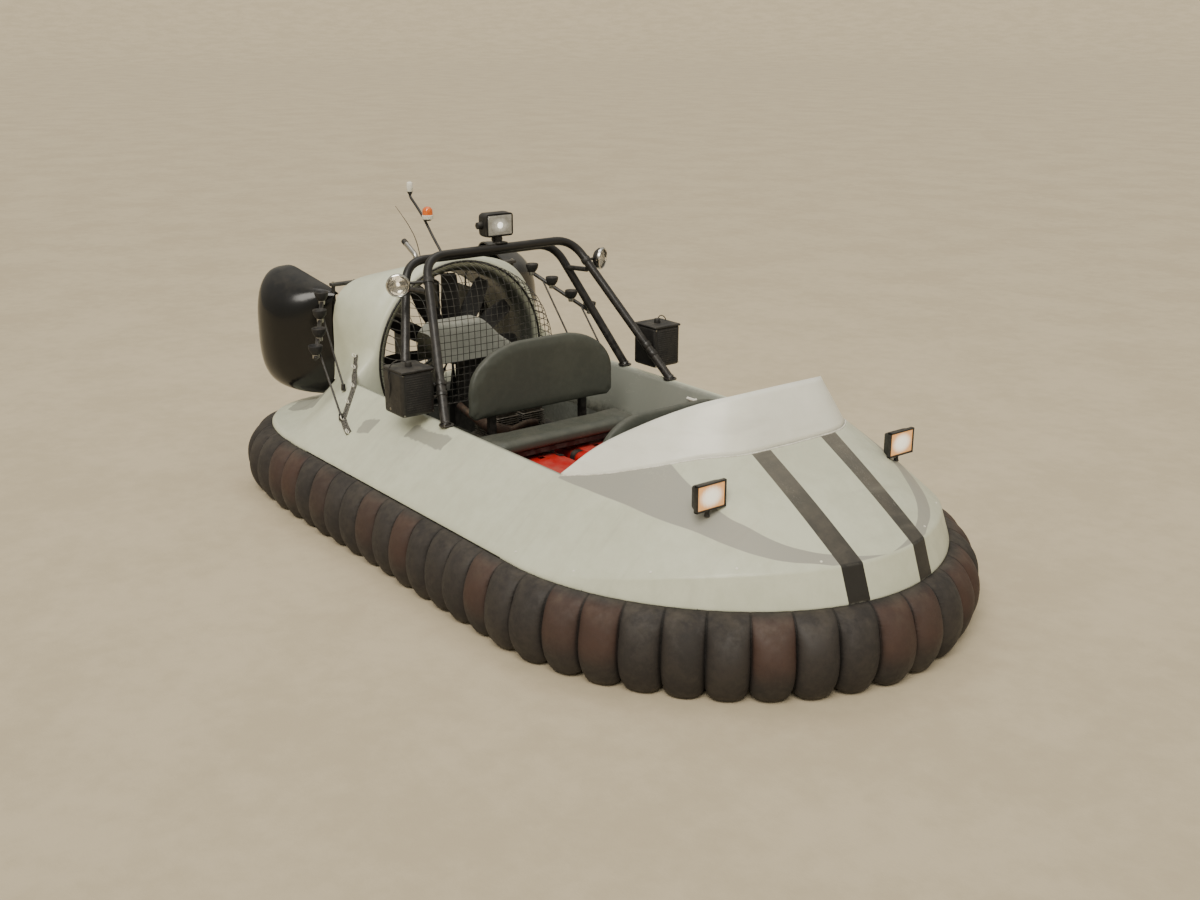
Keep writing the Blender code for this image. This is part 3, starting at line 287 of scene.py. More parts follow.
def curve_of(value, points):
    """A float curve through points given as place and height, both from 0 to 1."""
    made = node(value.tree, "ShaderNodeFloatCurve", "Value", {"Value": value})
    mapping = made.socket.node.mapping
    line = mapping.curves[0]
    line.points[0].location = points[0]
    line.points[-1].location = points[-1]
    for x, y in points[1:-1]:
        line.points.new(x, y)
    mapping.update()
    return made


# Marks on the finishes

# The grey sweep on the hood: place along the craft and distance across, of its two edges
SWEEP_INNER = [(0.70, 0.45), (1.243, 0.534), (1.354, 0.541), (1.562, 0.516), (1.632, 0.484), (1.742, 0.426),
               (1.829, 0.347), (1.897, 0.249), (1.949, 0.132), (1.98, 0.0)]
SWEEP_OUTER = [(0.70, 0.741), (0.907, 0.750), (1.187, 0.732), (1.344, 0.704), (1.509, 0.642), (1.649, 0.578),
               (1.758, 0.504), (1.831, 0.430), (1.897, 0.331), (1.98, 0.20)]
SWEEP_START, SWEEP_LENGTH = 0.70, 1.28
STRIPE_INNER, STRIPE_OUTER = 0.153, 0.254
STRIPE_START = 1.30
# Bare primer on the starboard side: middle along and across, half length and half width, turn in degrees
PRIMER_PATCHES = [(-0.30, -0.815, 0.17, 0.036, 2.0), (-0.80, -0.885, 0.055, 0.040, 10.0),
                  (-1.695, -0.785, 0.12, 0.065, 10.0)]


def hull_marks(place, colour, gloss, height):
    """The sweep, stripes and primer patches, painted shade on the cockpit's inner wall and inside the duct,
    and streaks.
    """
    x, y, z = parted(place)
    across = abs(y)
    on_top = between(parted(chart(place.tree))[1], KINK_ROW_SHARE - 0.004, KINK_ROW_SHARE + 0.012)
    share = (x - SWEEP_START).maths("DIVIDE", SWEEP_LENGTH, clamp=True)
    inner, outer = (curve_of(share, [((u - SWEEP_START) / SWEEP_LENGTH, v) for u, v in points])
                    for points in (SWEEP_INNER, SWEEP_OUTER))
    sweep = between(across - inner, -0.002, 0.002) * between(outer - across, -0.002, 0.002)
    sweep = sweep * (on_top * between(x, SIDE_FORE - 0.01, SIDE_FORE))
    colour = blend(sweep, colour, (159, 158, 147))
    stripe = between(across, STRIPE_INNER - 0.001, STRIPE_INNER + 0.001)
    stripe = stripe * between(across, STRIPE_OUTER + 0.001, STRIPE_OUTER - 0.001)
    stripe = stripe * between(x, STRIPE_START - 0.01, STRIPE_START)
    # The stripe's colour runs from grey aft to darker toward the nose, and it is black on the band below the
    # kink.
    stripe_grey_to_dark = blend(between(x, 1.40, 2.02), (94, 91, 83), (56, 53, 48))
    colour = blend(stripe, colour, blend(on_top, (34, 32, 30), stripe_grey_to_dark))
    wobble = (cloud(place, 9.0, 4.0, 0.7) - 0.5) * 0.06
    for u, v, half_length, half_width, angle in PRIMER_PATCHES:
        du, dv = x - u, y - v
        turn = radians(angle)
        along = du * cos(turn) + dv * sin(turn)
        beside = dv * cos(turn) - du * sin(turn)
        patch = between(half_length - abs(along) + wobble, -0.003, 0.005)
        patch = patch * between(half_width - abs(beside) + wobble, -0.003, 0.005) * 0.8
        colour = blend(patch, colour, (140, 140, 130))
        gloss = patch * 0.25 + gloss
    # Painted shade: the cockpit rim's inner wall is greyed where it lies in shade.
    painted_inner_wall_shade = between(across, 0.724, 0.714) * between(x, -1.262, -1.25) * between(x, 0.98, 0.94)
    colour = blend(painted_inner_wall_shade * between(z, 0.650, 0.640), colour, (124, 127, 118))
    # Painted shade: the duct's inner wall and the inner half of its lip are darkened where little light
    # reaches inside the duct.
    rise = z - SHAFT_Z
    off_axis = (rise * rise + y * y).maths("SQRT")
    painted_bore_shade = between(off_axis, 0.4875, 0.4825) * between(x, -1.306, -1.322) * between(x, -1.6210, -1.6175)
    painted_mouth_shade = between(off_axis, 0.538, 0.500) * between(x, -1.256, -1.268) * between(x, -1.345, -1.335)
    colour = blend(painted_bore_shade.maths("MAXIMUM", painted_mouth_shade), colour, (68, 70, 63))
    streak = cloud(stretched(place, (14.0, 1.6, 1.2)), 1.0, 4.0, 0.6)
    return blend(between(streak, 0.52, 0.78) * 0.22, colour, (150, 146, 130)), gloss, height


def cloth_marks(place, colour, gloss, height):
    """Each finger's own tone, painted shade in the gaps between fingers, its stitches and the puckers beside
    them, on the piece's own map.
    """
    at = chart(place.tree)
    u, v, _ = parted(at)
    own = node(place.tree, "ShaderNodeTexWhiteNoise", "Value", {"W": u.maths("FLOOR")}, noise_dimensions="1D")
    middle = between(v, 0.02, 0.16) * between(v, 0.62, 0.40)
    uneven = (cloud(place, 9.0, 4.0, 0.6) * 0.8).maths("ADD", 0.45, clamp=True)
    colour = blend(between(own, 0.45, 0.62) * middle * uneven, colour, (66, 46, 38))
    side = abs(u.maths("FRACT") - 0.5)
    # Painted shade: each finger darkens toward its sides, in the gaps between neighbouring fingers.
    colour = blend(between(side, 0.32, 0.48) * 0.88, colour, (18, 16, 15))
    seam = between(side, 0.404, 0.411) * between(side, 0.424, 0.417)
    stitch = between((v * 330.0).sine(), -0.1, 0.3)
    colour = blend(seam * stitch * 0.6, colour, (20, 17, 16))
    folds = cloud(stretched(at, (2.4, 34.0, 1.0)), 1.0, 3.0, 0.6) * between(side, 0.24, 0.44) * 26.0
    slack = cloud(place, 14.0, 3.0, 0.5) * 16.0
    weave = (u * 260.0).sine() * (v * 900.0).sine()
    return colour, gloss, height + weave * 0.5 + folds + seam * -6.0 + slack


def hide_marks(place, colour, gloss, height):
    """The pebbled grain of seat vinyl, with soft creases."""
    cells = node(place.tree, "ShaderNodeTexVoronoi", "Distance", {"Vector": place, "Scale": 420.0})
    return colour, gloss, cells * 1.6 + cloud(place, 16.0, 3.0, 0.5) * 5.0


def screen_marks(place, colour, gloss, height):
    """Faint long smears on the screen's paint."""
    smear = cloud(stretched(place, (1.5, 1.5, 9.0)), 1.6, 5.0, 0.6)
    return blend(between(smear, 0.48, 0.72) * 0.30, colour, (205, 203, 188)), gloss, height


def cast_marks(place, colour, gloss, height):
    """Oil stains over bare castings."""
    stain = between(cloud(place, 14.0, 5.0, 0.65), 0.48, 0.62)
    return blend(stain * 0.6, colour, (58, 42, 28)), gloss, height


def dial_marks(place, colour, gloss, height):
    """Shaded rings in place of each dial's ticks."""
    rings = node(place.tree, "ShaderNodeTexWave", "Fac", {"Vector": place, "Scale": 60.0}, wave_type="RINGS")
    return blend(rings * 0.25, colour, (120, 120, 116)), gloss, height


def speckle_marks(place, colour, gloss, height):
    """Pale flecks in a dark woven strap."""
    fleck = between(cloud(place, 260.0, 2.0, 0.5), 0.50, 0.60)
    return blend(fleck * 0.75, colour, (150, 146, 134)), gloss, height


# Finishes

hull_paint = surface("hull_paint", (206, 209, 187), (196, 199, 176), (0.38, 0.52), spread=2.2, dust=0.08,
                     grain=240.0, depth=0.0005, coat=0.1, scratched=0.22, rubbed=0.3, bare=(228, 226, 208),
                     marks=hull_marks)
# Mid grey, partly the tub's own tone and partly painted shade inside the cockpit.
tub_grey_and_shade = surface("tub_grey_and_shade", (112, 115, 107), (92, 95, 89), (0.5, 0.7), spread=7.0, dust=0.35,
                    grain=160.0, depth=0.0008)
screen_paint = surface("screen_paint", (241, 241, 229), (234, 234, 221), (0.30, 0.42), spread=2.0, dust=0.06,
                       grain=200.0, depth=0.0004, rubbed=0.2, bare=(248, 248, 240), marks=screen_marks)
sealant = surface("sealant", (236, 234, 224), (206, 203, 190), (0.5, 0.7), spread=30.0, grain=120.0,
                  depth=0.001)
skirt_cloth = surface("skirt_cloth", (48, 43, 40), (40, 36, 34), (0.6, 0.8), spread=5.0, dust=0.08,
                      grain=500.0, depth=0.00022, marks=cloth_marks, reach=0.05)
seat_vinyl = surface("seat_vinyl_grey", (76, 79, 71), (68, 71, 64), (0.42, 0.55), spread=4.0, dust=0.07,
                     grain=420.0, depth=0.0004, marks=hide_marks)
frame_black = surface("frame_black", (28, 26, 25), (22, 21, 20), (0.30, 0.42), spread=8.0, dust=0.05,
                      rubbed=0.3, grain=260.0, depth=0.0003, scratched=0.12, bare=(92, 88, 83))
moulded_black = surface("moulded_black", (29, 28, 27), (22, 21, 20), (0.42, 0.58), spread=12.0, dust=0.09,
                        rubbed=0.3, grain=700.0, depth=0.0004, bare=(76, 73, 69))
gloss_black = surface("gloss_black_gel", (13, 12, 12), (9, 9, 9), (0.13, 0.22), spread=2.5, dust=0.04,
                      grain=30.0, depth=0.0004, scratched=0.2, bare=(74, 72, 68))
rubber_black = surface("rubber_black", (34, 33, 33), (26, 25, 25), (0.6, 0.8), spread=20.0, dust=0.2,
                       grain=500.0, depth=0.0005)
wire_black = surface("wire_black", (36, 36, 33), (27, 27, 25), (0.35, 0.5), spread=30.0, rubbed=0.2,
                     grain=400.0)
# Dark grey, partly the parts' own tone and partly painted shade inside and behind the duct.
duct_grey_and_shade = surface("duct_grey_and_shade", (78, 80, 73), (64, 66, 60), (0.5, 0.66), spread=5.0, dust=0.15, grain=240.0,
                    depth=0.0005)
cover_grey = surface("cover_paint", (176, 178, 168), (158, 161, 152), (0.4, 0.6), spread=6.0, dust=0.3,
                     grain=180.0, depth=0.0006)
alloy = surface("alloy", (172, 170, 164), (150, 148, 143), (0.28, 0.45), metallic=0.9, spread=14.0, dust=0.15,
                rubbed=0.3, grain=420.0, depth=0.0002, scratched=0.3)
steel = surface("bright_steel", (190, 188, 182), (160, 157, 150), (0.2, 0.4), metallic=1.0, spread=26.0,
                dust=0.1, grain=500.0)
cast_metal = surface("cast_metal", (120, 116, 108), (94, 90, 82), (0.5, 0.7), metallic=0.7, spread=12.0,
                     dust=0.3, rubbed=0.4, grain=260.0, depth=0.0008, marks=cast_marks)
rusty = surface("rusty_pipe", (78, 54, 40), (52, 42, 36), (0.6, 0.85), metallic=0.3, spread=18.0, dust=0.2,
                grain=220.0, depth=0.0010)
tank_red = surface("tank_red_plastic", (196, 22, 22), (172, 14, 16), (0.30, 0.42), spread=6.0, dust=0.15,
                   rubbed=0.3, grain=380.0, depth=0.0004, bare=(226, 110, 96))
white_plastic = surface("white_plastic", (232, 230, 218), (220, 217, 204), (0.3, 0.45), spread=12.0, dust=0.1,
                        grain=420.0)
dial_face = surface("dial_face", (225, 224, 216), (212, 210, 202), (0.3, 0.4), grain=600.0, marks=dial_marks)
speckled = surface("speckled_strap", (52, 50, 46), (40, 38, 35), (0.7, 0.9), spread=30.0, grain=700.0,
                   depth=0.0006, marks=speckle_marks)
amber = surface("amber_dome", (232, 118, 28), (214, 92, 14), (0.10, 0.18), spread=40.0, grain=120.0, coat=0.6)
chrome = surface("reflector", (214, 212, 206), (196, 194, 188), (0.08, 0.16), metallic=1.0, spread=30.0,
                 grain=300.0)
lens_clear = clear_lens("lens_clear", (246, 244, 238), 0.05)
lamp_lit = glowing("lamp_lit", (222, 160, 98), (255, 248, 230), 0.70, (HEADLAMP_FACE.y, HEADLAMP_FACE.z),
                   (HEADLAMP_HALF_Y, HEADLAMP_HALF_Z))
bulb_lit = glowing("bulb_lit", (255, 240, 215), (255, 255, 250), 2.2, (0.0, 1.503), (0.1, 0.1))
search_lit = glowing("search_lit", (176, 174, 165), (252, 251, 244), 0.30, (0.0, 1.503), (0.070, 0.050))


# Camera, floor and light

CAMERA_PLACE = (5.275, -4.036, 2.606)
CAMERA_LOOK = (-0.7525, 0.5811, -0.3102)
CAMERA_LENS = 40.40
FLOOR_REACH = 90.0
FLOOR_CURL = 0.5


def stand(name, data, look, place=(0, 0, 0)):
    """A camera or lamp at a place, looking along a direction."""
    made = bpy.data.objects.new(name, data)
    made.location = place
    made.rotation_euler = Vector(look).to_track_quat("-Z", "Y").to_euler()
    bpy.context.scene.collection.objects.link(made)
    return made


def camera():
    """The photograph's point of view."""
    lens = bpy.data.cameras.new("camera")
    lens.lens = CAMERA_LENS
    lens.sensor_width = 36.0
    bpy.context.scene.camera = stand("camera", lens, CAMERA_LOOK, CAMERA_PLACE)


def studio():
    """A pale floor that curls up far away, under a soft overcast sky."""
    bm = bmesh.new()
    bmesh.ops.create_grid(bm, x_segments=40, y_segments=40, size=FLOOR_REACH)
    for vert in bm.verts:
        far = max(0.0, min(1.0, vert.co.length / FLOOR_REACH) - 0.7)
        vert.co.z = FLOOR_REACH * FLOOR_CURL * far * far
    mesh = bpy.data.meshes.new("floor")
    bm.to_mesh(mesh)
    bm.free()
    mesh.materials.append(surface("floor_pale", (200, 186, 158), (190, 176, 148), (0.88, 0.97), spread=1.2,
                                  grain=90.0, depth=0.001))
    floor = bpy.data.objects.new("floor", mesh)
    bpy.context.scene.collection.objects.link(floor)
    haze = bpy.data.lights.new("sun_in_haze", "SUN")
    haze.energy = 2.7
    haze.angle = radians(38)
    haze.color = (1.0, 0.95, 0.86)
    stand("sun_in_haze", haze, (-0.42, 0.50, -0.76))
    overhead = bpy.data.lights.new("overhead", "AREA")
    overhead.shape = "RECTANGLE"
    overhead.size = overhead.size_y = 3.0
    overhead.energy = 60.0
    overhead.color = (1.0, 0.97, 0.92)
    stand("overhead", overhead, (1.0, -0.5, -5.4), (-1.5, 0.5, 6.0))
    world = bpy.data.worlds.new("studio")
    world.use_nodes = True
    tree = world.node_tree
    height = parted(node(tree, "ShaderNodeTexCoord", "Generated"))[2]
    glow = blend(between(height, 0.0, 0.85), (212, 204, 184), (255, 251, 240))
    wire(tree.nodes["Background"], {"Color": glow, "Strength": 0.62})
    bpy.context.scene.world = world


# Lines and sheets


def mirrored(point, side):
    return Vector((point[0], point[1] * side, point[2]))


def cubic(a, b, c, d, t):
    """The smooth curve from b to c, between a and d."""
    bend = (a * 2 - b * 5 + c * 4 - d) * t * t + (b * 3 - a - c * 3 + d) * t ** 3
    return (b * 2 + (c - a) * t + bend) * 0.5


def smooth_line(points, steps=8):
    """A line that curves smoothly through its points."""
    points = [Vector(p) for p in points]
    padded = [points[0] * 2 - points[1]] + points + [points[-1] * 2 - points[-2]]
    line = []
    for four in zip(padded, padded[1:], padded[2:], padded[3:]):
        line += [cubic(*four, i / steps) for i in range(steps)]
    return line + [points[-1]]


def bezier(points, count):
    """Points along a cubic curve, with both its ends."""
    a, b, c, d = (Vector(p) for p in points)
    line = []
    for i in range(count + 1):
        t = i / count
        line.append(a * (1 - t) ** 3 + b * 3 * t * (1 - t) ** 2 + c * 3 * t ** 2 * (1 - t) + d * t ** 3)
    return line


def bent_path(corners, bend, steps=8):
    """The line through the corners with each inner corner rounded."""
    corners = [Vector(corner) for corner in corners]
    path = corners[:1]
    for before, corner, after in zip(corners, corners[1:], corners[2:]):
        enter = corner + (before - corner).normalized() * bend
        leave = corner + (after - corner).normalized() * bend
        for i in range(steps + 1):
            t = i / steps
            path.append(enter * (1 - t) ** 2 + corner * 2 * t * (1 - t) + leave * t ** 2)
    return path + corners[-1:]


def soft_step(value):
    """0 below 0, 1 above 1, and smooth between."""
    value = max(0.0, min(1.0, value))
    return value * value * (3 - 2 * value)


class Run:
    """A line through points that gives the place at any share of its length."""

    def __init__(self, points):
        self.points = [Vector(p) for p in points]
        self.lengths = [0.0]
        for a, b in zip(self.points, self.points[1:]):
            self.lengths.append(self.lengths[-1] + (b - a).length)

    def at(self, share):
        want = max(0.0, min(1.0, share)) * self.lengths[-1]
        k = 0
        while k < len(self.points) - 2 and self.lengths[k + 1] < want:
            k += 1
        part = (want - self.lengths[k]) / (self.lengths[k + 1] - self.lengths[k])
        return self.points[k].lerp(self.points[k + 1], part)


def sheet(columns, rows, form):
    """A grid laid onto a form, which gives the place for its shares across and along; the map follows it."""
    bm = bmesh.new()
    uv = bm.loops.layers.uv.verify()
    bmesh.ops.create_grid(bm, x_segments=columns, y_segments=rows, size=0.5)
    flat = {vert: (vert.co.x + 0.5, vert.co.y + 0.5) for vert in bm.verts}
    for face in bm.faces:
        for loop in face.loops:
            loop[uv].uv = flat[loop.vert]
    for vert, (u, v) in flat.items():
        vert.co = form(u, v)
    return bm


def weld(bm, fill=True):
    """Close a form's seams, poles and ends, and turn its faces outwards."""
    bmesh.ops.remove_doubles(bm, verts=bm.verts, dist=0.00002)
    bmesh.ops.dissolve_degenerate(bm, edges=bm.edges, dist=0.00001)
    if fill:
        bmesh.ops.holes_fill(bm, edges=bm.edges, sides=0)
    bmesh.ops.recalc_face_normals(bm, faces=bm.faces)
    return bm


def bridge(bm):
    """Join a form's two open ends."""
    weld(bm, fill=False)
    bmesh.ops.bridge_loops(bm, edges=[edge for edge in bm.edges if edge.is_boundary])
    bmesh.ops.recalc_face_normals(bm, faces=bm.faces)
    return bm


def face_along(bm, axis):
    """Turn a sheet's faces so that they look along an axis."""
    bmesh.ops.recalc_face_normals(bm, faces=bm.faces)
    if sum(face.normal[axis] * face.calc_area() for face in bm.faces) < 0:
        bmesh.ops.reverse_faces(bm, faces=bm.faces)


def soften(bm, edges, width, segments=2):
    """Round some edges."""
    bmesh.ops.bevel(bm, geom=edges, offset=width, segments=segments, profile=0.5, affect="EDGES", material=-1)


def block(bm, matrix, bevel, segments):
    """A unit cube placed and sized by a matrix, with rounded edges."""
    made = bmesh.ops.create_cube(bm, size=1.0, matrix=matrix)["verts"]
    if bevel:
        soften(bm, list({edge for vert in made for edge in vert.link_edges}), bevel, segments)


def put(name, bm, finish, slot, *replaces, body="craft", sharp=38):
    """A finished piece: smooth shaded, with its material, riding on its body."""
    mesh = bpy.data.meshes.new(name)
    bm.to_mesh(mesh)
    bm.free()
    mesh.shade_smooth()
    mesh.set_sharp_from_angle(angle=radians(sharp))
    mesh.materials.append(finish)
    piece = bpy.data.objects.new(name, mesh)
    bpy.context.scene.collection.objects.link(piece)
    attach(piece, body)
    if replaces:
        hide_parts(*replaces)
    return piece


def thicken(piece, thickness):
    """Give a sheet its wall."""
    wall = piece.modifiers.new("wall", "SOLIDIFY")
    wall.thickness = thickness
    wall.offset = -1.0


class Form:
    """A piece in the making. Its places are measured from an origin, and mirrored on the starboard side."""

    def __init__(self, origin=(0, 0, 0), side=1):
        self.bm = bmesh.new()
        self.origin, self.side = Vector(origin), side

    def at(self, place):
        return mirrored(self.origin + Vector(place), self.side)

    def slab(self, low, high, bevel=0.0, segments=2):
        """A box between two corners with rounded edges."""
        low, high = self.at(low), self.at(high)
        size = Matrix.Diagonal((high.x - low.x, abs(high.y - low.y), high.z - low.z, 1.0))
        block(self.bm, Matrix.Translation((low + high) / 2) @ size, bevel, segments)

    def rod(self, start, end, radius, end_radius=None, sides=16, bevel=0.0):
        """A round bar or cone between two points, its end rims bevelled."""
        start, end = self.at(start), self.at(end)
        far = radius if end_radius is None else end_radius
        turn = (end - start).to_track_quat("Z", "Y").to_matrix().to_4x4()
        made = bmesh.ops.create_cone(self.bm, cap_ends=True, segments=sides, radius1=radius, radius2=far,
                                     depth=(end - start).length,
                                     matrix=Matrix.Translation((start + end) / 2) @ turn)["verts"]
        if bevel:
            rims = [edge for edge in {e for v in made for e in v.link_edges}
                    if max(len(face.verts) for face in edge.link_faces) > 4]
            soften(self.bm, rims, bevel)

    def stub(self, start, length, radius, end_radius=None, sides=16, bevel=0.0):
        """An upright rod of a length."""
        self.rod(start, Vector(start) + UP * length, radius, end_radius, sides, bevel)

    def bolts(self, places, along, radius=0.006, height=0.004):
        """Six-sided bolt heads on washers, along a direction."""
        along = Vector(along).normalized()
        for place in places:
            place = Vector(place)
            self.rod(place - along * 0.001, place + along * 0.0012, radius * 1.5, sides=14)
            self.rod(place, place + along * (height + 0.001), radius, radius * 0.94, sides=6)

    def tube(self, path, radius, sides=16):
        """A round tube along a path; its radius may change with the share along."""
        path = [self.at(point) for point in path]
        rings = []
        side = None
        for i, point in enumerate(path):
            ahead = (path[min(i + 1, len(path) - 1)] - path[max(i - 1, 0)]).normalized()
            side = ahead.orthogonal() if side is None else side
            side = (side - ahead * side.dot(ahead)).normalized()
            size = radius(i / (len(path) - 1)) if callable(radius) else radius
            rings.append((point, side * size, ahead.cross(side) * size))

        def form(u, v):
            point, side, up = rings[round(u * (len(rings) - 1))]
            return point + side * cos(2 * pi * v) + up * sin(2 * pi * v)

        self.take_in(sheet(len(path) - 1, sides, form))

    def turned(self, profile, start=(0, 0, 0), ahead=UP, steps=32):
        """A form turned about a line through start; its profile gives the place along and the radius."""
        part = bmesh.new()
        start, ahead = self.at(start), mirrored(ahead, self.side).normalized()
        side = ahead.orthogonal().normalized()
        verts = [part.verts.new(start + ahead * along + side * radius) for along, radius in profile]
        edges = [part.edges.new(pair) for pair in zip(verts, verts[1:])]
        bmesh.ops.spin(part, geom=verts + edges, cent=start, axis=ahead, angle=2 * pi, steps=steps,
                       use_merge=True, use_duplicate=False)
        self.take_in(part)

    def take_in(self, part):
        """Close one form and add it to the piece."""
        mesh = bpy.data.meshes.new("part")
        weld(part).to_mesh(mesh)
        part.free()
        self.bm.from_mesh(mesh)
        bpy.data.meshes.remove(mesh)

    def clamp_bar(self, hoop, z, target, radius=0.010):
        """A clamp round a hoop's leg and a bar from it to a fitting, all in the frame's own places."""
        low, high = Vector(hoop[0]), Vector(hoop[1])
        axis = (high - low).normalized()
        at = low.lerp(high, (z - low.z) / (high.z - low.z))
        near = at + axis * (target - at).dot(axis)
        out = (target - near).normalized()
        near, target = near - self.origin, target - self.origin
        self.rod(near + out * 0.020, target, radius, sides=14)
        self.rod(near - axis * 0.014, near + axis * 0.014, 0.0275, sides=24, bevel=0.002)

    def put(self, name, finish, slot, *replaces, **settings):
        return put(name, self.bm, finish, slot, *replaces, **settings)


def forms(count, origin=(0, 0, 0), side=1):
    """Several pieces in the making at one origin."""
    return [Form(origin, side) for _ in range(count)]


# The hull's moulded deck

BOW = [(0.84, HULL_HALF_BEAM), (1.44, HULL_HALF_BEAM), (HULL_HALF_LENGTH, 0.58), (HULL_HALF_LENGTH, 0.0)]
TAIL = [(-1.21, HULL_HALF_BEAM), (-1.71, HULL_HALF_BEAM), (-HULL_HALF_LENGTH, 0.95),
        (-HULL_HALF_LENGTH, 0.50)]
COAMING_CURVE = [(SIDE_FORE, COAMING_Y, COAMING_Z), (0.94, 0.680, 0.705), (1.15, 0.590, 0.772),
                 (1.31, 0.450, 0.822), (1.415, 0.280, 0.836), (1.433, 0.0, 0.838)]
COWL_FOOT = [(SIDE_AFT, COAMING_Y, COAMING_Z), (-1.34, 0.712, 0.645), (-1.45, 0.686, 0.628),
             (-1.55, 0.668, 0.603), (-1.60, 0.655, 0.586), (-1.617, 0.640, 0.500), (-1.622, 0.600, 0.446),
             (-1.622, 0.30, AFT_DECK_Z), (-1.622, 0.0, AFT_DECK_Z)]
BAND_START_X = 1.09
BAND_AT_NOSE = 0.130
BOW_SHARE, SIDE_SHARE = 0.42, 0.33
DECK_COLUMNS = 300
# How the rim turns into the cockpit: level way in and drop, beside the cockpit, at the hood and aft
RIM_BESIDE = [(0.012, 0.0006), (0.030, -0.002), (0.040, -0.008), (0.047, -0.020), (0.094, -0.145),
              (0.115, -0.210), (0.1335, -0.284)]
RIM_HOOD = [(0.018, -0.001), (0.045, -0.003), (0.055, -0.006), (0.059, -0.014), (0.056, -0.030),
            (0.050, -0.042), (0.047, -0.050)]
RIM_AFT = [(0.003, -0.003), (0.006, -0.008), (0.008, -0.015), (0.009, -0.025), (0.010, -0.040),
           (0.010, -0.055), (0.010, -0.070)]

bow_line = bezier(BOW, 60)[::-1]
tail_line = bezier(TAIL, 60)
bow_edge = Run(bow_line + [(SIDE_FORE, HULL_HALF_BEAM)])
bow_rim = Run(smooth_line(COAMING_CURVE[::-1]))
tail_edge = Run([(SIDE_AFT, HULL_HALF_BEAM - 0.0001)] + tail_line[8:] + [(-HULL_HALF_LENGTH, 0.0)])
tail_rim = Run(COWL_FOOT)
whole_edge = Run(bow_line + tail_line + [(-HULL_HALF_LENGTH, 0.0)])


def mixed(first, second, share):
    """The rows at a share of the way from one table to another."""
    return [(a[0] + (b[0] - a[0]) * share, a[1] + (b[1] - a[1]) * share) for a, b in zip(first, second)]


def deck_section(s):
    """One section of the port deck: edge, band, slope and rim. The nose is at 0, the tail's middle at 1."""
    blend_in = 0.0
    tail_part = 0.0
    if s <= BOW_SHARE:
        t = s / BOW_SHARE
        edge, rim = bow_edge.at(t), bow_rim.at(t)
        inward = (Vector((SIDE_FORE, 0.0)) - rim.xy).normalized()
        turn = mixed(RIM_HOOD, RIM_BESIDE, soft_step((t - 0.80) / 0.20))
    elif s <= BOW_SHARE + SIDE_SHARE:
        x = SIDE_FORE + (SIDE_AFT - SIDE_FORE) * (s - BOW_SHARE) / SIDE_SHARE
        edge, rim = Vector((x, HULL_HALF_BEAM)), Vector((x, COAMING_Y, COAMING_Z))
        inward = Vector((0.0, -1.0))
        turn = RIM_BESIDE
    else:
        t = (s - BOW_SHARE - SIDE_SHARE) / (1 - BOW_SHARE - SIDE_SHARE)
        edge, rim = tail_edge.at(t), tail_rim.at(t)
        blend_in = soft_step(t / 0.22)
        tail_part = soft_step((t - 0.36) / 0.10)
        inward = Vector((tail_part, tail_part - 1))
        turn = mixed(RIM_BESIDE, RIM_AFT, soft_step(t / 0.06))
    reach = max(0.0, (edge.x - BAND_START_X) / (HULL_HALF_LENGTH - BAND_START_X))
    band = BAND_AT_NOSE * sin(reach * pi / 2) ** 1.3
    lean = (rim.xy - edge).normalized()
    kink = edge + lean * (0.016 + 0.036 * reach)
    kink_z = GUNWALE_Z + 0.008 + 0.010 * (1 - reach) + band
    rows = [(*edge, 0.352), (*edge, 0.361), (*(edge + lean * 0.0015), 0.3675)]
    flat = edge + lean * 0.003
    for share in (0.33, 0.66, 0.92, 0.99):
        rows.append((*flat.lerp(kink, share), 0.371 + (kink_z - 0.371) * share))
    for share in SLOPE_SHARES:
        concave = share ** (1 + 1.1 * blend_in)
        convex = 1 - (1 - share) ** 2.4
        rise = concave + (convex - concave) * tail_part
        swell = 0.010 * sin(pi * share) * (1 - blend_in)
        rows.append((*kink.lerp(rim.xy, share), kink_z + (rim.z - kink_z) * rise + swell))
    for way, drop in turn:
        rows.append((*(rim.xy + inward * way), rim.z + drop))
    return [Vector(row) for row in rows]


def deck():
    """The deck moulding in one shell, from the tail round to starboard, the nose, port and the tail."""
    sections = []
    for i in range(DECK_COLUMNS + 1):
        t = 2.0 * i / DECK_COLUMNS - 1
        sections.append([mirrored(p, -1 if t < 0 else 1) for p in deck_section(abs(t))])
    rows = len(sections[0]) - 1
    bm = sheet(DECK_COLUMNS, rows, lambda u, v: sections[round(u * DECK_COLUMNS)][round(v * rows)])
    bmesh.ops.remove_doubles(bm, verts=bm.verts, dist=0.00002)
    face_along(bm, 2)
    thicken(put("deck_moulding", bm, hull_paint, "hull_grey", "foredeck", "side_deck_port",
                "side_deck_starboard", "aft_deck", sharp=50), 0.006)


def deck_point(s, share, side=1):
    """A place on the deck's slope and its outward direction, for fittings."""
    def at(s, share):
        return Run(deck_section(s)[ROWS_TO_KINK:ROWS_TO_KINK + len(SLOPE_SHARES)]).at(share)

    inward = at(s, min(share + 0.03, 1.0)) - at(s, share - 0.03)
    up = inward.cross(at(s + 0.01, share) - at(s - 0.01, share)).normalized()
    up = up if up.z > 0 else -up
    return mirrored(at(s, share), side), mirrored(up, side)


# The duct's cowl

LIP = [(-1.300, 0.580), (-1.285, 0.578), (-1.272, 0.571), (-1.264, 0.558), (-1.262, 0.543), (-1.266, 0.527),
       (-1.276, 0.512), (-1.292, 0.497), (-1.312, 0.486), (-1.350, 0.4765), (-1.42, DUCT_BORE),
       (-1.48, DUCT_BORE), (DUCT_EXIT_X, DUCT_EXIT_BORE)]
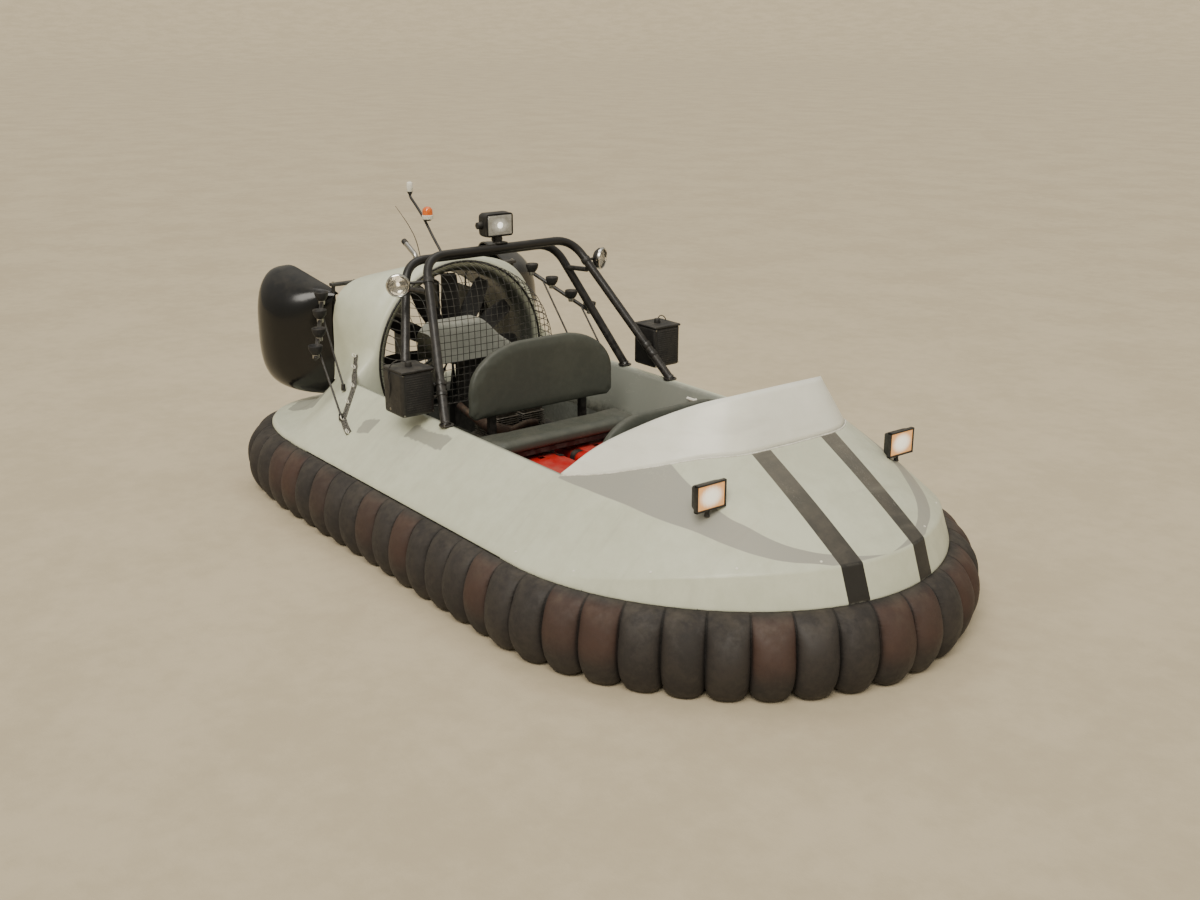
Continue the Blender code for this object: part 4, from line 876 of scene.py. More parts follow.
# How far each of the lip's first rings leans over into the flare
LIP_FLARE = (0.97, 0.88, 0.70, 0.44, 0.18, 0.05)
LIP_OUTER_X, LIP_OUTER_RADIUS = -1.285, 0.577
COWL_HALF_WIDTH, COWL_HEIGHT = 0.640, 0.470
COWL_STATIONS = (DUCT_EXIT_X, DUCT_EXIT_X + 0.004, -1.585, -1.54, -1.49, -1.44, -1.39, -1.35, -1.32)
FLARE_ANGLE, FLARE_SPAN = 78, 30
# The cowl's columns in degrees from straight up: wide steps below the flare, fine ones on it and above
COWL_TURNS = [*range(-180, -108, 12), *[-108 + 2.5 * i for i in range(13)],
              *[-78 + 3 * i for i in range(1, 52)], *[78 + 2.5 * i for i in range(13)], *range(120, 181, 12)]


def cowl_radius(x, angle):
    """How far the cowl's outside stands from the fan's axis, at an angle from straight up."""
    share = max(0.0, (LIP_OUTER_X - x) / (LIP_OUTER_X - DUCT_EXIT_X))
    power = 2.0 + 3.0 * share
    width = LIP_OUTER_RADIUS + (COWL_HALF_WIDTH - LIP_OUTER_RADIUS) * share
    height = LIP_OUTER_RADIUS + (COWL_HEIGHT - LIP_OUTER_RADIUS) * share
    return ((abs(cos(angle)) / height) ** power + (abs(sin(angle)) / width) ** power) ** (-1.0 / power)


def cowl_foot(x):
    """Where the cowl's side lands on the deck, at a place along the craft."""
    points = [Vector(p) for p in COWL_FOOT[:5]]
    for a, b in zip(points, points[1:]):
        if b.x <= x <= a.x:
            return a.lerp(b, (x - a.x) / (b.x - a.x))
    return points[0] if x > points[0].x else points[-1]


def cowl_point(x, radius, slot, flare):
    """A point of the cowl at degrees from straight up; no radius asks for its outside."""
    side = 1 if slot >= 0 else -1
    turn = abs(slot)
    angle = radians(turn)
    above = turn <= FLARE_ANGLE
    reach = radius or (cowl_radius(x, angle) if above else LIP_OUTER_RADIUS)
    plain = Vector((x, side * reach * sin(angle), SHAFT_Z + reach * cos(angle)))
    if above or not flare or turn > FLARE_ANGLE + FLARE_SPAN:
        return plain
    share = (turn - FLARE_ANGLE) / FLARE_SPAN
    edge = radians(FLARE_ANGLE)
    reach = radius or cowl_radius(x, edge)
    top = Vector((reach * sin(edge), SHAFT_Z + reach * cos(edge)))
    foot = cowl_foot(x).yz
    mid = Vector((top.x + 0.004, max(foot.y + 0.02, foot.y + (foot.x - top.x) * 0.9)))
    point = top * (1 - share) ** 2 + mid * 2 * share * (1 - share) + foot * share ** 2
    return plain.lerp(Vector((x, side * point.x, point.y)), flare)


def cowl():
    """The duct's cowl: round at the rolled lip, boxed at the exit, flared into the deck at its foot."""
    flares = LIP_FLARE + (0.0,) * (len(LIP) - len(LIP_FLARE))
    places = [(x, None, 1.0) for x in COWL_STATIONS] + [(x, r, flare) for (x, r), flare in zip(LIP, flares)]
    places += [(DUCT_EXIT_X, COWL_HEIGHT - 0.012, 0.0)]

    def form(u, v):
        x, radius, flare = places[round(v * (len(places) - 1))]
        return cowl_point(x, radius, COWL_TURNS[round(u * (len(COWL_TURNS) - 1))], flare)

    bm = bridge(sheet(len(COWL_TURNS) - 1, len(places) - 1, form))
    put("cowl_shell", bm, hull_paint, "hull_grey", "duct_cowl", sharp=42)


# The skirt

SKIRT_CURVE = [(0.003, 0.357), (0.125, 0.350), (0.208, 0.160), (0.095, 0.003)]
FINGER_COLUMNS = 14
SKIRT_ROWS_OUT, SKIRT_ROWS_UNDER = 22, 7


def skirt():
    """The ring of inflated fabric fingers under the gunwale."""
    rng = random.Random(41)
    fullness = [rng.uniform(0.95, 1.03) for _ in range(FINGERS)]
    leaning = [rng.uniform(-0.12, 0.12) for _ in range(FINGERS)]
    drop = [rng.uniform(0.0, 0.006) for _ in range(FINGERS)]
    under = [Vector((0.075 - 0.022 * i, 0.001 + 0.0004 * i * i)) for i in range(1, SKIRT_ROWS_UNDER)]
    section = bezier(SKIRT_CURVE, SKIRT_ROWS_OUT) + under
    section += [Vector((-0.045, 0.15)), Vector((-0.02, 0.30)), Vector((0.0006, 0.34))]
    rows = len(section) - 1
    columns = FINGERS * FINGER_COLUMNS

    def form(u, v):
        finger, phase = divmod(round(u * columns) % columns, FINGER_COLUMNS)
        q = phase / FINGER_COLUMNS
        p = 0.5 - 0.5 * cos(pi * q)
        row = min(round(v * rows), rows)
        d, z = section[row]
        height = max(0.0, min(1.0, (0.357 - z) / 0.35))
        lean = leaning[finger] * sin(pi * q) * sin(pi * height) * 0.3
        around = (finger + p + lean) / FINGERS
        t = 2 * around if around <= 0.5 else 2 - 2 * around
        at = whole_edge.at(t)
        ahead = whole_edge.at(min(t + 0.004, 1.0)) - whole_edge.at(max(t - 0.004, 0.0))
        out = Vector((-ahead.y, ahead.x)).normalized()
        out = out if out.dot(at) > 0 else -out
        if around > 0.5:
            at, out = Vector((at.x, -at.y)), Vector((out.x, -out.y))
        groove = 1 - sqrt(max(0.0, 1 - abs(2 * p - 1) ** 2.4))
        depth = 0.062 * groove * min(1.0, 0.30 + height * 2.2)
        if row <= SKIRT_ROWS_OUT:
            lift = (0.003 + 0.030 * groove) * height ** 6
            d *= 1 + (fullness[finger] - 1) * height
        elif row < SKIRT_ROWS_OUT + SKIRT_ROWS_UNDER:
            lift = 0.004 + 0.028 * groove
            depth *= 0.7
        else:
            lift = depth = 0.0
        dent = noise.noise(Vector((at.x * 9, at.y * 9, z * 7 + finger * 3.1))) * 0.0045 * min(1.0, height * 4)
        lift += drop[finger] * height ** 6
        x, y = at + out * (d - depth + dent)
        return Vector((x, y, max(0.0006, z + lift)))

    bm = sheet(columns, rows, form)
    uv = bm.loops.layers.uv.active
    for face in bm.faces:
        for loop in face.loops:
            finger, phase = divmod(round(loop[uv].uv.x * columns), FINGER_COLUMNS)
            loop[uv].uv.x = finger + phase / FINGER_COLUMNS
    put("skirt_fingers", bridge(bm), skirt_cloth, "skirt_fabric", "skirt", sharp=180)


# Windscreen

SCREEN_TOP = [(0.705, 0.722, 0.660), (0.826, 0.610, 0.795), (1.03, 0.50, 0.93), (1.20, 0.375, 1.025),
              (1.300, 0.235, 1.066), (1.318, 0.0, 1.074)]
SCREEN_SET_BACK = 0.010
BEAD_POINTS = 240
screen_top = Run(smooth_line(SCREEN_TOP[::-1]))


def screen_foot(t):
    """The screen's foot on the hood's rim, and the way in: 0 in the middle, 1 at its aft end."""
    rim = bow_rim.at(t)
    inward = (Vector((SIDE_FORE, 0.0)) - rim.xy).normalized().to_3d()
    return rim + inward * SCREEN_SET_BACK + UP * 0.0008, inward


def windscreen():
    """The low white screen and the rough bead of sealant along its foot."""

    def form(u, v):
        t = 2 * u - 1
        foot, inward = screen_foot(abs(t))
        point = foot.lerp(screen_top.at(abs(t)), v) - inward * 0.006 * sin(pi * v)
        return mirrored(point, 1 if t >= 0 else -1)

    bm = sheet(120, 10, form)
    face_along(bm, 0)
    thicken(put("screen_panel", bm, screen_paint, "screen_white", "windscreen"), 0.004)
    rng = random.Random(7)
    path = []
    for i in range(BEAD_POINTS + 1):
        t = 2 * i / BEAD_POINTS - 1
        foot, inward = screen_foot(abs(t))
        off = 0.003 + rng.uniform(-0.001, 0.001)
        path.append(mirrored(foot - inward * off + UP * 0.001, 1 if t >= 0 else -1))
    bead = Form()
    sizes = [0.0036 + 0.0016 * noise.noise(Vector((i * 0.31, 0, 3))) for i in range(BEAD_POINTS + 1)]
    bead.tube(path, lambda share: sizes[round(share * BEAD_POINTS)], 8)
    bead.put("screen_sealant", sealant, "screen_white")


# Cushions

BENCHES = (
    # name, back's middle plane, half width, back's lower and upper edge, shoulder, cushion's depth
    ("rear", -0.46, 0.48, 0.556, 0.972, 0.27, 0.24),
    ("front", 0.60, 0.44, 0.520, 0.830, 0.20, 0.28),
)
CUSHION_LOW, CUSHION_TOP = 0.4303, 0.500
CUSHION_CORNER = 0.085
BACK_HALF_THICKNESS = 0.03
# How much smaller the pads start than they are blown up, and the grid for the cloth
PAD_MARGIN = 0.006
PAD_SWELL = 0.010
PAD_VOXEL = 0.0075
PAD_PRESSURE = 4.0
PAD_FRAMES = 20


def apply_all(piece):
    """Replace a piece's mesh by what its modifiers make of it."""
    shaped = piece.evaluated_get(bpy.context.evaluated_depsgraph_get())
    mesh = bpy.data.meshes.new_from_object(shaped)
    piece.modifiers.clear()
    old = piece.data
    piece.data = mesh
    bpy.data.meshes.remove(old)


def inflate(piece):
    """Blow a padded form up a little as cloth round its filling, and smooth it."""
    grid = piece.modifiers.new("grid", "REMESH")
    grid.mode = "VOXEL"
    grid.voxel_size = PAD_VOXEL
    apply_all(piece)
    rest = [vert.co.copy() for vert in piece.data.vertices]
    fabric = piece.modifiers.new("fabric", "CLOTH")
    fabric.settings.use_pressure = True
    fabric.settings.uniform_pressure_force = PAD_PRESSURE
    fabric.settings.effector_weights.gravity = 0.0
    fabric.settings.quality = 4
    scene = bpy.context.scene
    for number in range(1, PAD_FRAMES + 1):
        scene.frame_set(number)
    shaped = piece.evaluated_get(bpy.context.evaluated_depsgraph_get())
    blown = [vert.co.copy() for vert in shaped.data.vertices]
    piece.modifiers.clear()
    scene.frame_set(1)
    for vert, start, end in zip(piece.data.vertices, rest, blown):
        move = end - start
        vert.co = start + move * min(1.0, PAD_SWELL / max(move.length, 1e-9))
    bm = bmesh.new()
    bm.from_mesh(piece.data)
    for _ in range(3):
        bmesh.ops.smooth_vert(bm, verts=bm.verts, factor=0.5, use_axis_x=True, use_axis_y=True,
                              use_axis_z=True)
    bm.to_mesh(piece.data)
    bm.free()
    finer = piece.modifiers.new("finer", "SUBSURF")
    finer.levels = finer.render_levels = 1
    apply_all(piece)
    piece.data.shade_smooth()


def back_outline(half, low, high, shoulder):
    """The upright outline of a seat back, across and up: broad shoulders under one long arc."""
    wide, tall = shoulder * 1.30, shoulder * 0.92
    points = [(-half + 0.03, low), (half - 0.03, low), (half, low + 0.03)]
    for i in range(15):
        angle = radians(90 * i / 14)
        points.append((half - wide * (1 - cos(angle)), high - tall * (1 - sin(angle))))
    points += [(-y, z) for y, z in reversed(points[3:])] + [(-half, low + 0.03)]
    return points


def edges_where(bm, axis, test):
    """A piece's edges whose ends' difference along an axis passes a test."""
    return [edge for edge in bm.edges if test(abs(edge.verts[0].co[axis] - edge.verts[1].co[axis]))]


def cushions():
    """The two benches and their backs in plain seat vinyl, blown up as cloth."""
    for name, x, half, low, high, shoulder, depth in BENCHES:
        fore = x + BACK_HALF_THICKNESS + 0.003
        form = Form()
        form.slab((fore + PAD_MARGIN, -half + PAD_MARGIN, CUSHION_LOW + 0.003),
                  (fore + depth - PAD_MARGIN, half - PAD_MARGIN, CUSHION_TOP - PAD_SWELL))
        uprights = edges_where(form.bm, 2, lambda height: height > 0.01)
        corners = [edge for edge in uprights if edge.verts[0].co.x > fore + depth / 2]
        soften(form.bm, corners, CUSHION_CORNER, 6)
        soften(form.bm, edges_where(form.bm, 2, lambda height: height < 0.001), 0.020, 4)
        seat = form.put(f"{name}_bench_pad", seat_vinyl, "seat_vinyl", f"{name}_bench_cushion")
        inflate(seat)
        for vert in seat.data.vertices:
            vert.co.z = max(vert.co.z, CUSHION_LOW)
        bm = bmesh.new()
        outline = back_outline(half - PAD_MARGIN, low + PAD_MARGIN, high - PAD_MARGIN, shoulder)
        face = bm.faces.new([bm.verts.new((x - 0.020, y, z)) for y, z in outline])
        grown = bmesh.ops.extrude_face_region(bm, geom=[face])["geom"]
        far = [vert for vert in grown if isinstance(vert, bmesh.types.BMVert)]
        bmesh.ops.translate(bm, verts=far, vec=(0.040, 0, 0))
        bmesh.ops.recalc_face_normals(bm, faces=bm.faces)
        soften(bm, edges_where(bm, 0, lambda width: width < 0.001), 0.012, 3)
        back = put(f"{name}_back_pad", bm, seat_vinyl, "seat_vinyl", f"{name}_seat_back")
        inflate(back)


# Cage and its fittings

HOOP_RADIUS = 0.0235
FRONT_HOOP = ((-0.255, COAMING_Y, COAMING_Z), (-0.832, 0.474, 1.381))
REAR_HOOP = ((-0.658, COAMING_Y, COAMING_Z), (-1.020, 0.484, 1.331))
BRACE = ((-0.950, 0.5245, 1.20), (-0.752, 0.5245, 1.215))
SPEAKER = Vector((-0.4675, 0.810, 0.80))
ROUND_LAMP = Vector((-0.811, 0.655, 1.258))
ROUND_LAMP_AIM = Vector((0.86, 0.50, -0.08)).normalized()


def hoops():
    """The cage's two bent tubes with their flanges, bolts and braces."""
    base = COAMING_Z + 0.0003
    for name, hoop in (("front", FRONT_HOOP), ("rear", REAR_HOOP)):
        foot, corner = Vector((hoop[0][0], hoop[0][1], base - 0.002)), Vector(hoop[1])
        form, fixings = forms(2)
        corners = [foot, corner, mirrored(corner, -1), mirrored(foot, -1)]
        form.tube(bent_path(corners, 0.12, 12), HOOP_RADIUS, 28)
        leg = (corner - foot).normalized()
        ring = foot + leg * 0.014
        spot = Vector((foot.x, foot.y - 0.005, base))
        for side in (1, -1):
            form.side = fixings.side = side
            form.stub(spot, 0.008, 0.038, sides=32, bevel=0.002)
            form.rod(ring - leg * 0.006, ring + leg * 0.006, 0.029, 0.0242, sides=28)
            around = [Vector((0.031 * cos(a), 0.031 * sin(a) * side, 0.008)) for a in (0.6, 2.2, 3.8, 5.4)]
            fixings.bolts([spot + way for way in around], UP, 0.0038, 0.003)
            if name == "rear":
                form.rod(*BRACE, 0.014, sides=20)
        form.put(f"hoop_{name}", frame_black, "satin_black", f"roll_hoop_{name}")
        fixings.put(f"hoop_{name}_bolts", steel, "metal_grey")


def speakers():
    """A boxed speaker on each front leg, with its grille, knob, screws and wire."""
    for name, side in SIDES:
        case, grille, bracket, screws, lead = forms(5, SPEAKER, side)
        case.slab((-0.096, -0.094, -0.119), (0.090, 0.094, 0.110), 0.018, 4)
        case.slab((-0.0965, -0.0945, 0.106), (0.0965, 0.0945, 0.1195), 0.006, 3)
        case.stub((0, 0, 0.112), 0.032, 0.019, 0.017, 20, 0.002)
        grille.slab((0.086, -0.076, -0.100), (0.0925, 0.076, 0.094), 0.003)
        for i in range(16):
            z = -0.092 + 0.012 * i
            grille.slab((0.091, -0.070, z - 0.002), (0.0938, 0.070, z + 0.002), 0.0008, 1)
        bracket.clamp_bar(FRONT_HOOP, 0.85, SPEAKER + Vector((0, -0.04, 0)))
        bracket.clamp_bar(FRONT_HOOP, 0.78, SPEAKER + Vector((0.01, -0.04, -0.07)), 0.007)
        screws.bolts([(0.0895, y, z) for y in (-0.082, 0.082) for z in (-0.106, 0.098)], AHEAD, 0.0030, 0.002)
        screws.bolts([(-0.03, 0.0935, -0.09)], (0, 1, 0), 0.004, 0.003)
        lead.tube(smooth_line([(0.0, 0.0, 0.140), (-0.02, 0.04, 0.152), (-0.03, 0.08, 0.134),
                               (-0.03, 0.0975, 0.09), (-0.02, 0.0965, 0.02), (-0.04, 0.092, -0.04)]),
                  0.0028, 8)
        case.put(f"speaker_{name}_case", moulded_black, "satin_black", f"speaker_{name}")
        grille.put(f"speaker_{name}_grille", rubber_black, "satin_black")
        bracket.put(f"speaker_{name}_bracket", frame_black, "satin_black")
        screws.put(f"speaker_{name}_screws", steel, "metal_grey")
        lead.put(f"speaker_{name}_wire", rubber_black, "satin_black")


def round_lamps():
    """The two round lamps beside the hoop's corners: shell, rim, reflector and lens."""
    for name, side in SIDES:
        shell, rim, lens, bulb = forms(4, ROUND_LAMP, side)
        shell.turned([(-0.032, 0.0), (-0.030, 0.020), (-0.022, 0.041), (-0.006, 0.057), (0.014, 0.0620),
                      (0.016, 0.0600), (-0.004, 0.052), (-0.018, 0.038), (-0.024, 0.0)],
                     ahead=ROUND_LAMP_AIM, steps=40)
        shell.clamp_bar(FRONT_HOOP, 1.23, ROUND_LAMP - ROUND_LAMP_AIM * 0.0112, 0.008)
        rim.turned([(0.010, 0.0625), (0.018, 0.0635), (0.025, 0.0610), (0.028, 0.0560), (0.025, 0.0530),
                    (0.014, 0.0565), (0.010, 0.0625)], ahead=ROUND_LAMP_AIM, steps=44)
        rim.turned([(0.008, 0.052), (-0.004, 0.046), (-0.013, 0.031), (-0.018, 0.012), (-0.018, 0.0),
                    (-0.020, 0.0), (-0.020, 0.013), (-0.015, 0.033), (-0.006, 0.049), (0.008, 0.054),
                    (0.008, 0.052)], ahead=ROUND_LAMP_AIM, steps=44)
        lens.turned([(0.0225, 0.0), (0.0222, 0.020), (0.0210, 0.038), (0.0180, 0.0532), (0.0155, 0.0532),
                     (0.0180, 0.038), (0.0192, 0.020), (0.0195, 0.0)], ahead=ROUND_LAMP_AIM, steps=44)
        bulb.turned([(-0.018, 0.0), (-0.018, 0.009), (-0.004, 0.0095), (0.004, 0.006), (0.006, 0.0)],
                    ahead=ROUND_LAMP_AIM, steps=20)
        shell.put(f"lamp_shell_{name}", moulded_black, "lamp_housing", f"round_lamp_{name}")
        rim.put(f"lamp_rim_{name}", chrome, "metal_grey")
        lens.put(f"lamp_lens_{name}", lens_clear, "lamp_housing")
        bulb.put(f"lamp_bulb_{name}", bulb_lit, "lamp_white")


def searchlight():
    """The square searchlight on top of the cage."""
    low, high = Vector((-0.930, -0.088, 1.438)), Vector((-0.843, 0.088, 1.568))
    middle = (low.z + high.z) / 2
    top = FRONT_HOOP[1][2] + HOOP_RADIUS + 0.0004
    case, mirror, bulb, lens = forms(4)

    def front(form, back, face, inset, bevel, segments=2):
        """A plate over the case's front, set in from its edges."""
        form.slab((high.x + back, low.y + inset, low.z + inset),
                  (high.x + face, high.y - inset, high.z - inset), bevel, segments)

    case.slab(low, high, 0.026, 5)
    front(case, -0.010, 0.006, 0.003, 0.016, 4)
    case.slab((-0.866, -0.034, top), (-0.814, 0.034, top + 0.008), 0.003)
    case.slab((-0.884, -0.020, top + 0.004), (-0.848, 0.020, 1.448), 0.005)
    for side in (1, -1):
        case.rod((-0.870, side * 0.018, 1.424), (-0.870, side * 0.030, 1.424), 0.012, sides=18, bevel=0.002)
    case.rod((-0.885, -0.080, middle), (-0.885, -0.117, middle), 0.021, 0.019, 22, 0.003)
    case.rod((-0.885, 0.080, middle), (-0.885, 0.094, middle), 0.018, 0.016, 22, 0.002)
    for i in range(6):
        z = low.z + 0.026 + 0.0135 * i
        case.slab((low.x - 0.004, -0.060, z), (low.x + 0.004, 0.060, z + 0.005), 0.0015, 1)
    front(mirror, 0.003, 0.0075, 0.014, 0.002)
    bulb.rod((high.x + 0.0076, 0.0, middle), (high.x + 0.0082, 0.0, middle), 0.017, sides=24)
    front(lens, 0.0084, 0.0105, 0.012, 0.001, 1)
    case.put("searchlight_case", moulded_black, "lamp_housing", "searchlight")
    mirror.put("searchlight_reflector", search_lit, "metal_grey")
    bulb.put("searchlight_bulb", bulb_lit, "lamp_white")
    lens.put("searchlight_lens", lens_clear, "lamp_housing")


HEADLAMP_DEPTH = 0.056
HEADLAMP_BACK_SHARE = 0.80
HEADLAMP_RIM = 0.0085
HEADLAMP_STALK_X = 1.503


def headlamps():
    """The two lit oblong lamps on short stalks from the hood."""
    half = Vector((0, HEADLAMP_HALF_Y, HEADLAMP_HALF_Z))
    inside = half - Vector((0, HEADLAMP_RIM - 0.001, HEADLAMP_RIM - 0.001))
    for name, side in SIDES:
        case, glass, bolt = forms(3, HEADLAMP_FACE, side)
        back = -HEADLAMP_DEPTH
        case.slab(AHEAD * back - half * 0.97, half * 0.97 - AHEAD * 0.012)
        rear = [vert for vert in case.bm.verts if vert.co.x < HEADLAMP_FACE.x + back + 0.001]
        bmesh.ops.scale(case.bm, verts=rear, vec=(1, HEADLAMP_BACK_SHARE, HEADLAMP_BACK_SHARE),
                        space=Matrix.Translation(-case.at((back, 0, 0))))
        soften(case.bm, list(case.bm.edges), 0.008, 3)
        for y0, y1, z0, z1 in ((-half.y, half.y, half.z - HEADLAMP_RIM, half.z),
                               (-half.y, half.y, -half.z, -half.z + HEADLAMP_RIM),
                               (-half.y, -half.y + HEADLAMP_RIM, -half.z, half.z),
                               (half.y - HEADLAMP_RIM, half.y, -half.z, half.z)):
            case.slab((-0.020, y0, z0), (0, y1, z1), 0.0025)
        for i in range(5):
            y = -0.036 + 0.018 * i
            case.slab((back - 0.0004, y - 0.002, -0.026), (back + 0.004, y + 0.002, 0.026), 0.0012, 1)
        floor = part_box(f"headlamp_{name}")[0].z
        foot = Vector((HEADLAMP_STALK_X - HEADLAMP_FACE.x, 0, floor - HEADLAMP_FACE.z))
        case.stub(foot, -foot.z - 0.040, 0.0095, sides=18)
        case.stub(foot, 0.010, 0.0125, 0.010, 22)
        case.slab((foot.x - 0.014, -0.020, -half.z - 0.006), (foot.x + 0.014, 0.020, -half.z + 0.010), 0.003)
        glass.slab(-inside - AHEAD * 0.012, inside - AHEAD * 0.0025, 0.004, 3)
        bolt.bolts([foot + Vector((0, -0.0125, 0.020))], (0, -1, 0), 0.004, 0.004)
        case.put(f"headlamp_case_{name}", moulded_black, "lamp_housing", f"headlamp_{name}")
        glass.put(f"headlamp_glass_{name}", lamp_lit, "lamp_housing")
        bolt.put(f"headlamp_bolt_{name}", steel, "metal_grey")


# Fan, guard and drive

GUARD_RIM = 0.545
GUARD_DEPTH = 0.252
GUARD_SQUARENESS = 4.0
GUARD_SILL_Z = 0.5015
GUARD_PITCH = 0.039
GUARD_FOOT_X = -1.252


def basket_x(radius):
    """How far forward the basket stands at a distance from the shaft."""
    reach = max(0.0, 1 - (radius / GUARD_RIM) ** GUARD_SQUARENESS)
    return GUARD_FOOT_X + GUARD_DEPTH * reach ** (1 / GUARD_SQUARENESS)


def guard():
    """The fan's basket of crossed wires on its rim."""
    wires, rim = forms(2, (0, 0, SHAFT_Z))
    sill = GUARD_SILL_Z - SHAFT_Z
    for k in range(-13, 14):
        offset = GUARD_PITCH * k
        half = sqrt(GUARD_RIM ** 2 - offset ** 2)
        for upright in (True, False):
            if not upright and offset < sill:
                continue
            low = max(-half, sill) if upright else -half
            points = []
            for i in range(29):
                along = (half + low) / 2 - (half - low) / 2 * cos(pi * i / 28)
                x = basket_x(min(hypot(along, offset), GUARD_RIM)) + (0.0012 if upright else -0.0006)
                points.append((x, offset, along) if upright else (x, along, offset))
            wires.tube(points, 0.0020, 6)
    circle = [2 * pi * i / 10 for i in range(11)]
    profile = [(GUARD_FOOT_X - 0.008 + 0.0065 * cos(a), GUARD_RIM + 0.0065 * sin(a)) for a in circle]
    rim.turned(profile, ahead=AHEAD, steps=72)
    half = sqrt(GUARD_RIM ** 2 - sill ** 2)
    across = [-half * cos(pi * i / 40) for i in range(41)]
    rim.tube([(basket_x(hypot(y, sill)), y, sill) for y in across], 0.004, 10)
    wires.put("guard_wires", wire_black, "satin_black", "fan_guard")
    rim.put("guard_rim", frame_black, "satin_black")


BLADES = 12
BLADE = (
    # radius, chord, thickness and pitch in degrees
    (0.066, 0.054, 0.013, 55),
    (0.12, 0.078, 0.012, 47),
    (0.20, 0.104, 0.011, 38),
    (0.30, 0.110, 0.010, 31),
    (0.39, 0.098, 0.008, 25),
    (0.445, 0.084, 0.006, 22),
    (FAN_RADIUS, 0.062, 0.004, 21),
)
FOIL = [(-0.5, 0.0), (-0.46, 0.30), (-0.36, 0.46), (-0.18, 0.52), (0.05, 0.44), (0.28, 0.24), (0.5, 0.02),
        (0.28, -0.10), (0.05, -0.20), (-0.18, -0.26), (-0.36, -0.24), (-0.46, -0.15), (-0.5, 0.0)]
HUB = [(-0.045, 0.0), (-0.045, 0.060), (-0.040, 0.073), (-0.030, 0.075), (0.040, 0.075), (0.050, 0.070),
       (0.055, 0.058), (0.055, 0.036), (0.048, 0.034), (0.048, 0.0)]


def fan():
    """The airfoil blades on a bolted hub, and the shaft."""
    stations = [Vector(row) for row in BLADE]
    last = len(stations) - 1
    blades, hub = forms(2, (FAN_X, 0, SHAFT_Z))
    for k in range(BLADES):
        turn = 2 * pi * k / BLADES

        def form(u, v):
            low = min(int(v * last), last - 1)
            radius, chord, thick, pitch = stations[low].lerp(stations[low + 1], v * last - low)
            a, b = FOIL[round(u * (len(FOIL) - 1))]
            slope = radians(pitch)
            along = a * chord * cos(slope) - b * thick * sin(slope)
            ahead = a * chord * sin(slope) + b * thick * cos(slope)
            y = radius * sin(turn) + along * cos(turn)
            z = radius * cos(turn) - along * sin(turn)
            return blades.at((ahead, y, z))

        blades.take_in(sheet(len(FOIL) - 1, last * 3, form))
    hub.turned(HUB, ahead=AHEAD, steps=40)
    hub.rod((-1.449 - FAN_X, 0, 0), (-1.2006 - FAN_X, 0, 0), 0.0175, sides=24)
    around = [2 * pi * i / 6 for i in range(6)]
    hub.bolts([(0.0545, 0.047 * sin(a), 0.047 * cos(a)) for a in around], AHEAD, 0.006, 0.004)
    blades.put("fan_blades", moulded_black, "satin_black", "fan", body="fan", sharp=60)
    hub.put("fan_hub", cast_metal, "metal_grey", body="fan")


# Reverse thrust buckets

# A bucket's stations: place, rim and bulge outboard of the centre line, lowest and highest edge
BUCKET_STATIONS = [
    (-1.622, 0.597, 0.645, 0.487, 1.080),
    (-1.70, 0.611, 0.805, 0.479, 1.108),
    (-1.80, 0.630, 0.900, 0.475, 1.133),
    (-1.92, 0.653, 0.932, 0.478, 1.164),
    (-2.03, 0.674, 0.912, 0.492, 1.188),
    (-2.11, 0.689, 0.856, 0.525, 1.176),
    (-2.160, 0.699, 0.790, 0.580, 1.130),
    (-2.185, 0.706, 0.735, 0.650, 1.050),
]
BUCKET_PIVOT = Vector((-1.640, 0.612, 0.84))
BUCKET_SQUARENESS = 0.68
BUCKET_WALL = 0.009
BUCKET_RIM_RADIUS = 0.0055
BUCKET_TURNS = 44


def bucket_point(share, turn, inset):
    """A point of the port bucket's skin: turn runs from the bottom rim to the top rim."""
    last = len(BUCKET_STATIONS) - 1
    k = min(int(share * last), last - 1)
    rows = [BUCKET_STATIONS[max(0, min(last, k + i))] for i in (-1, 0, 1, 2)]
    x, rim, bulge, low, high = [cubic(*four, share * last - k) for four in zip(*rows)]
    up, out = sin(turn), max(cos(turn), 0.0)
    up = abs(up) ** BUCKET_SQUARENESS * (1 if up > 0 else -1)
    deep = max(bulge - rim - inset, 0.6 * (bulge - rim))
    tall = (high - low) / 2 - inset
    return Vector((x, rim + deep * out ** BUCKET_SQUARENESS, (low + high) / 2 + tall * up))


def bucket_edge(share, turn):
    """The line that the rolled rim follows, just inside the skin's edge."""
    point = bucket_point(share, turn, BUCKET_RIM_RADIUS)
    point.x = max(point.x, BUCKET_STATIONS[-1][0] + 1.6 * BUCKET_RIM_RADIUS)
    return point


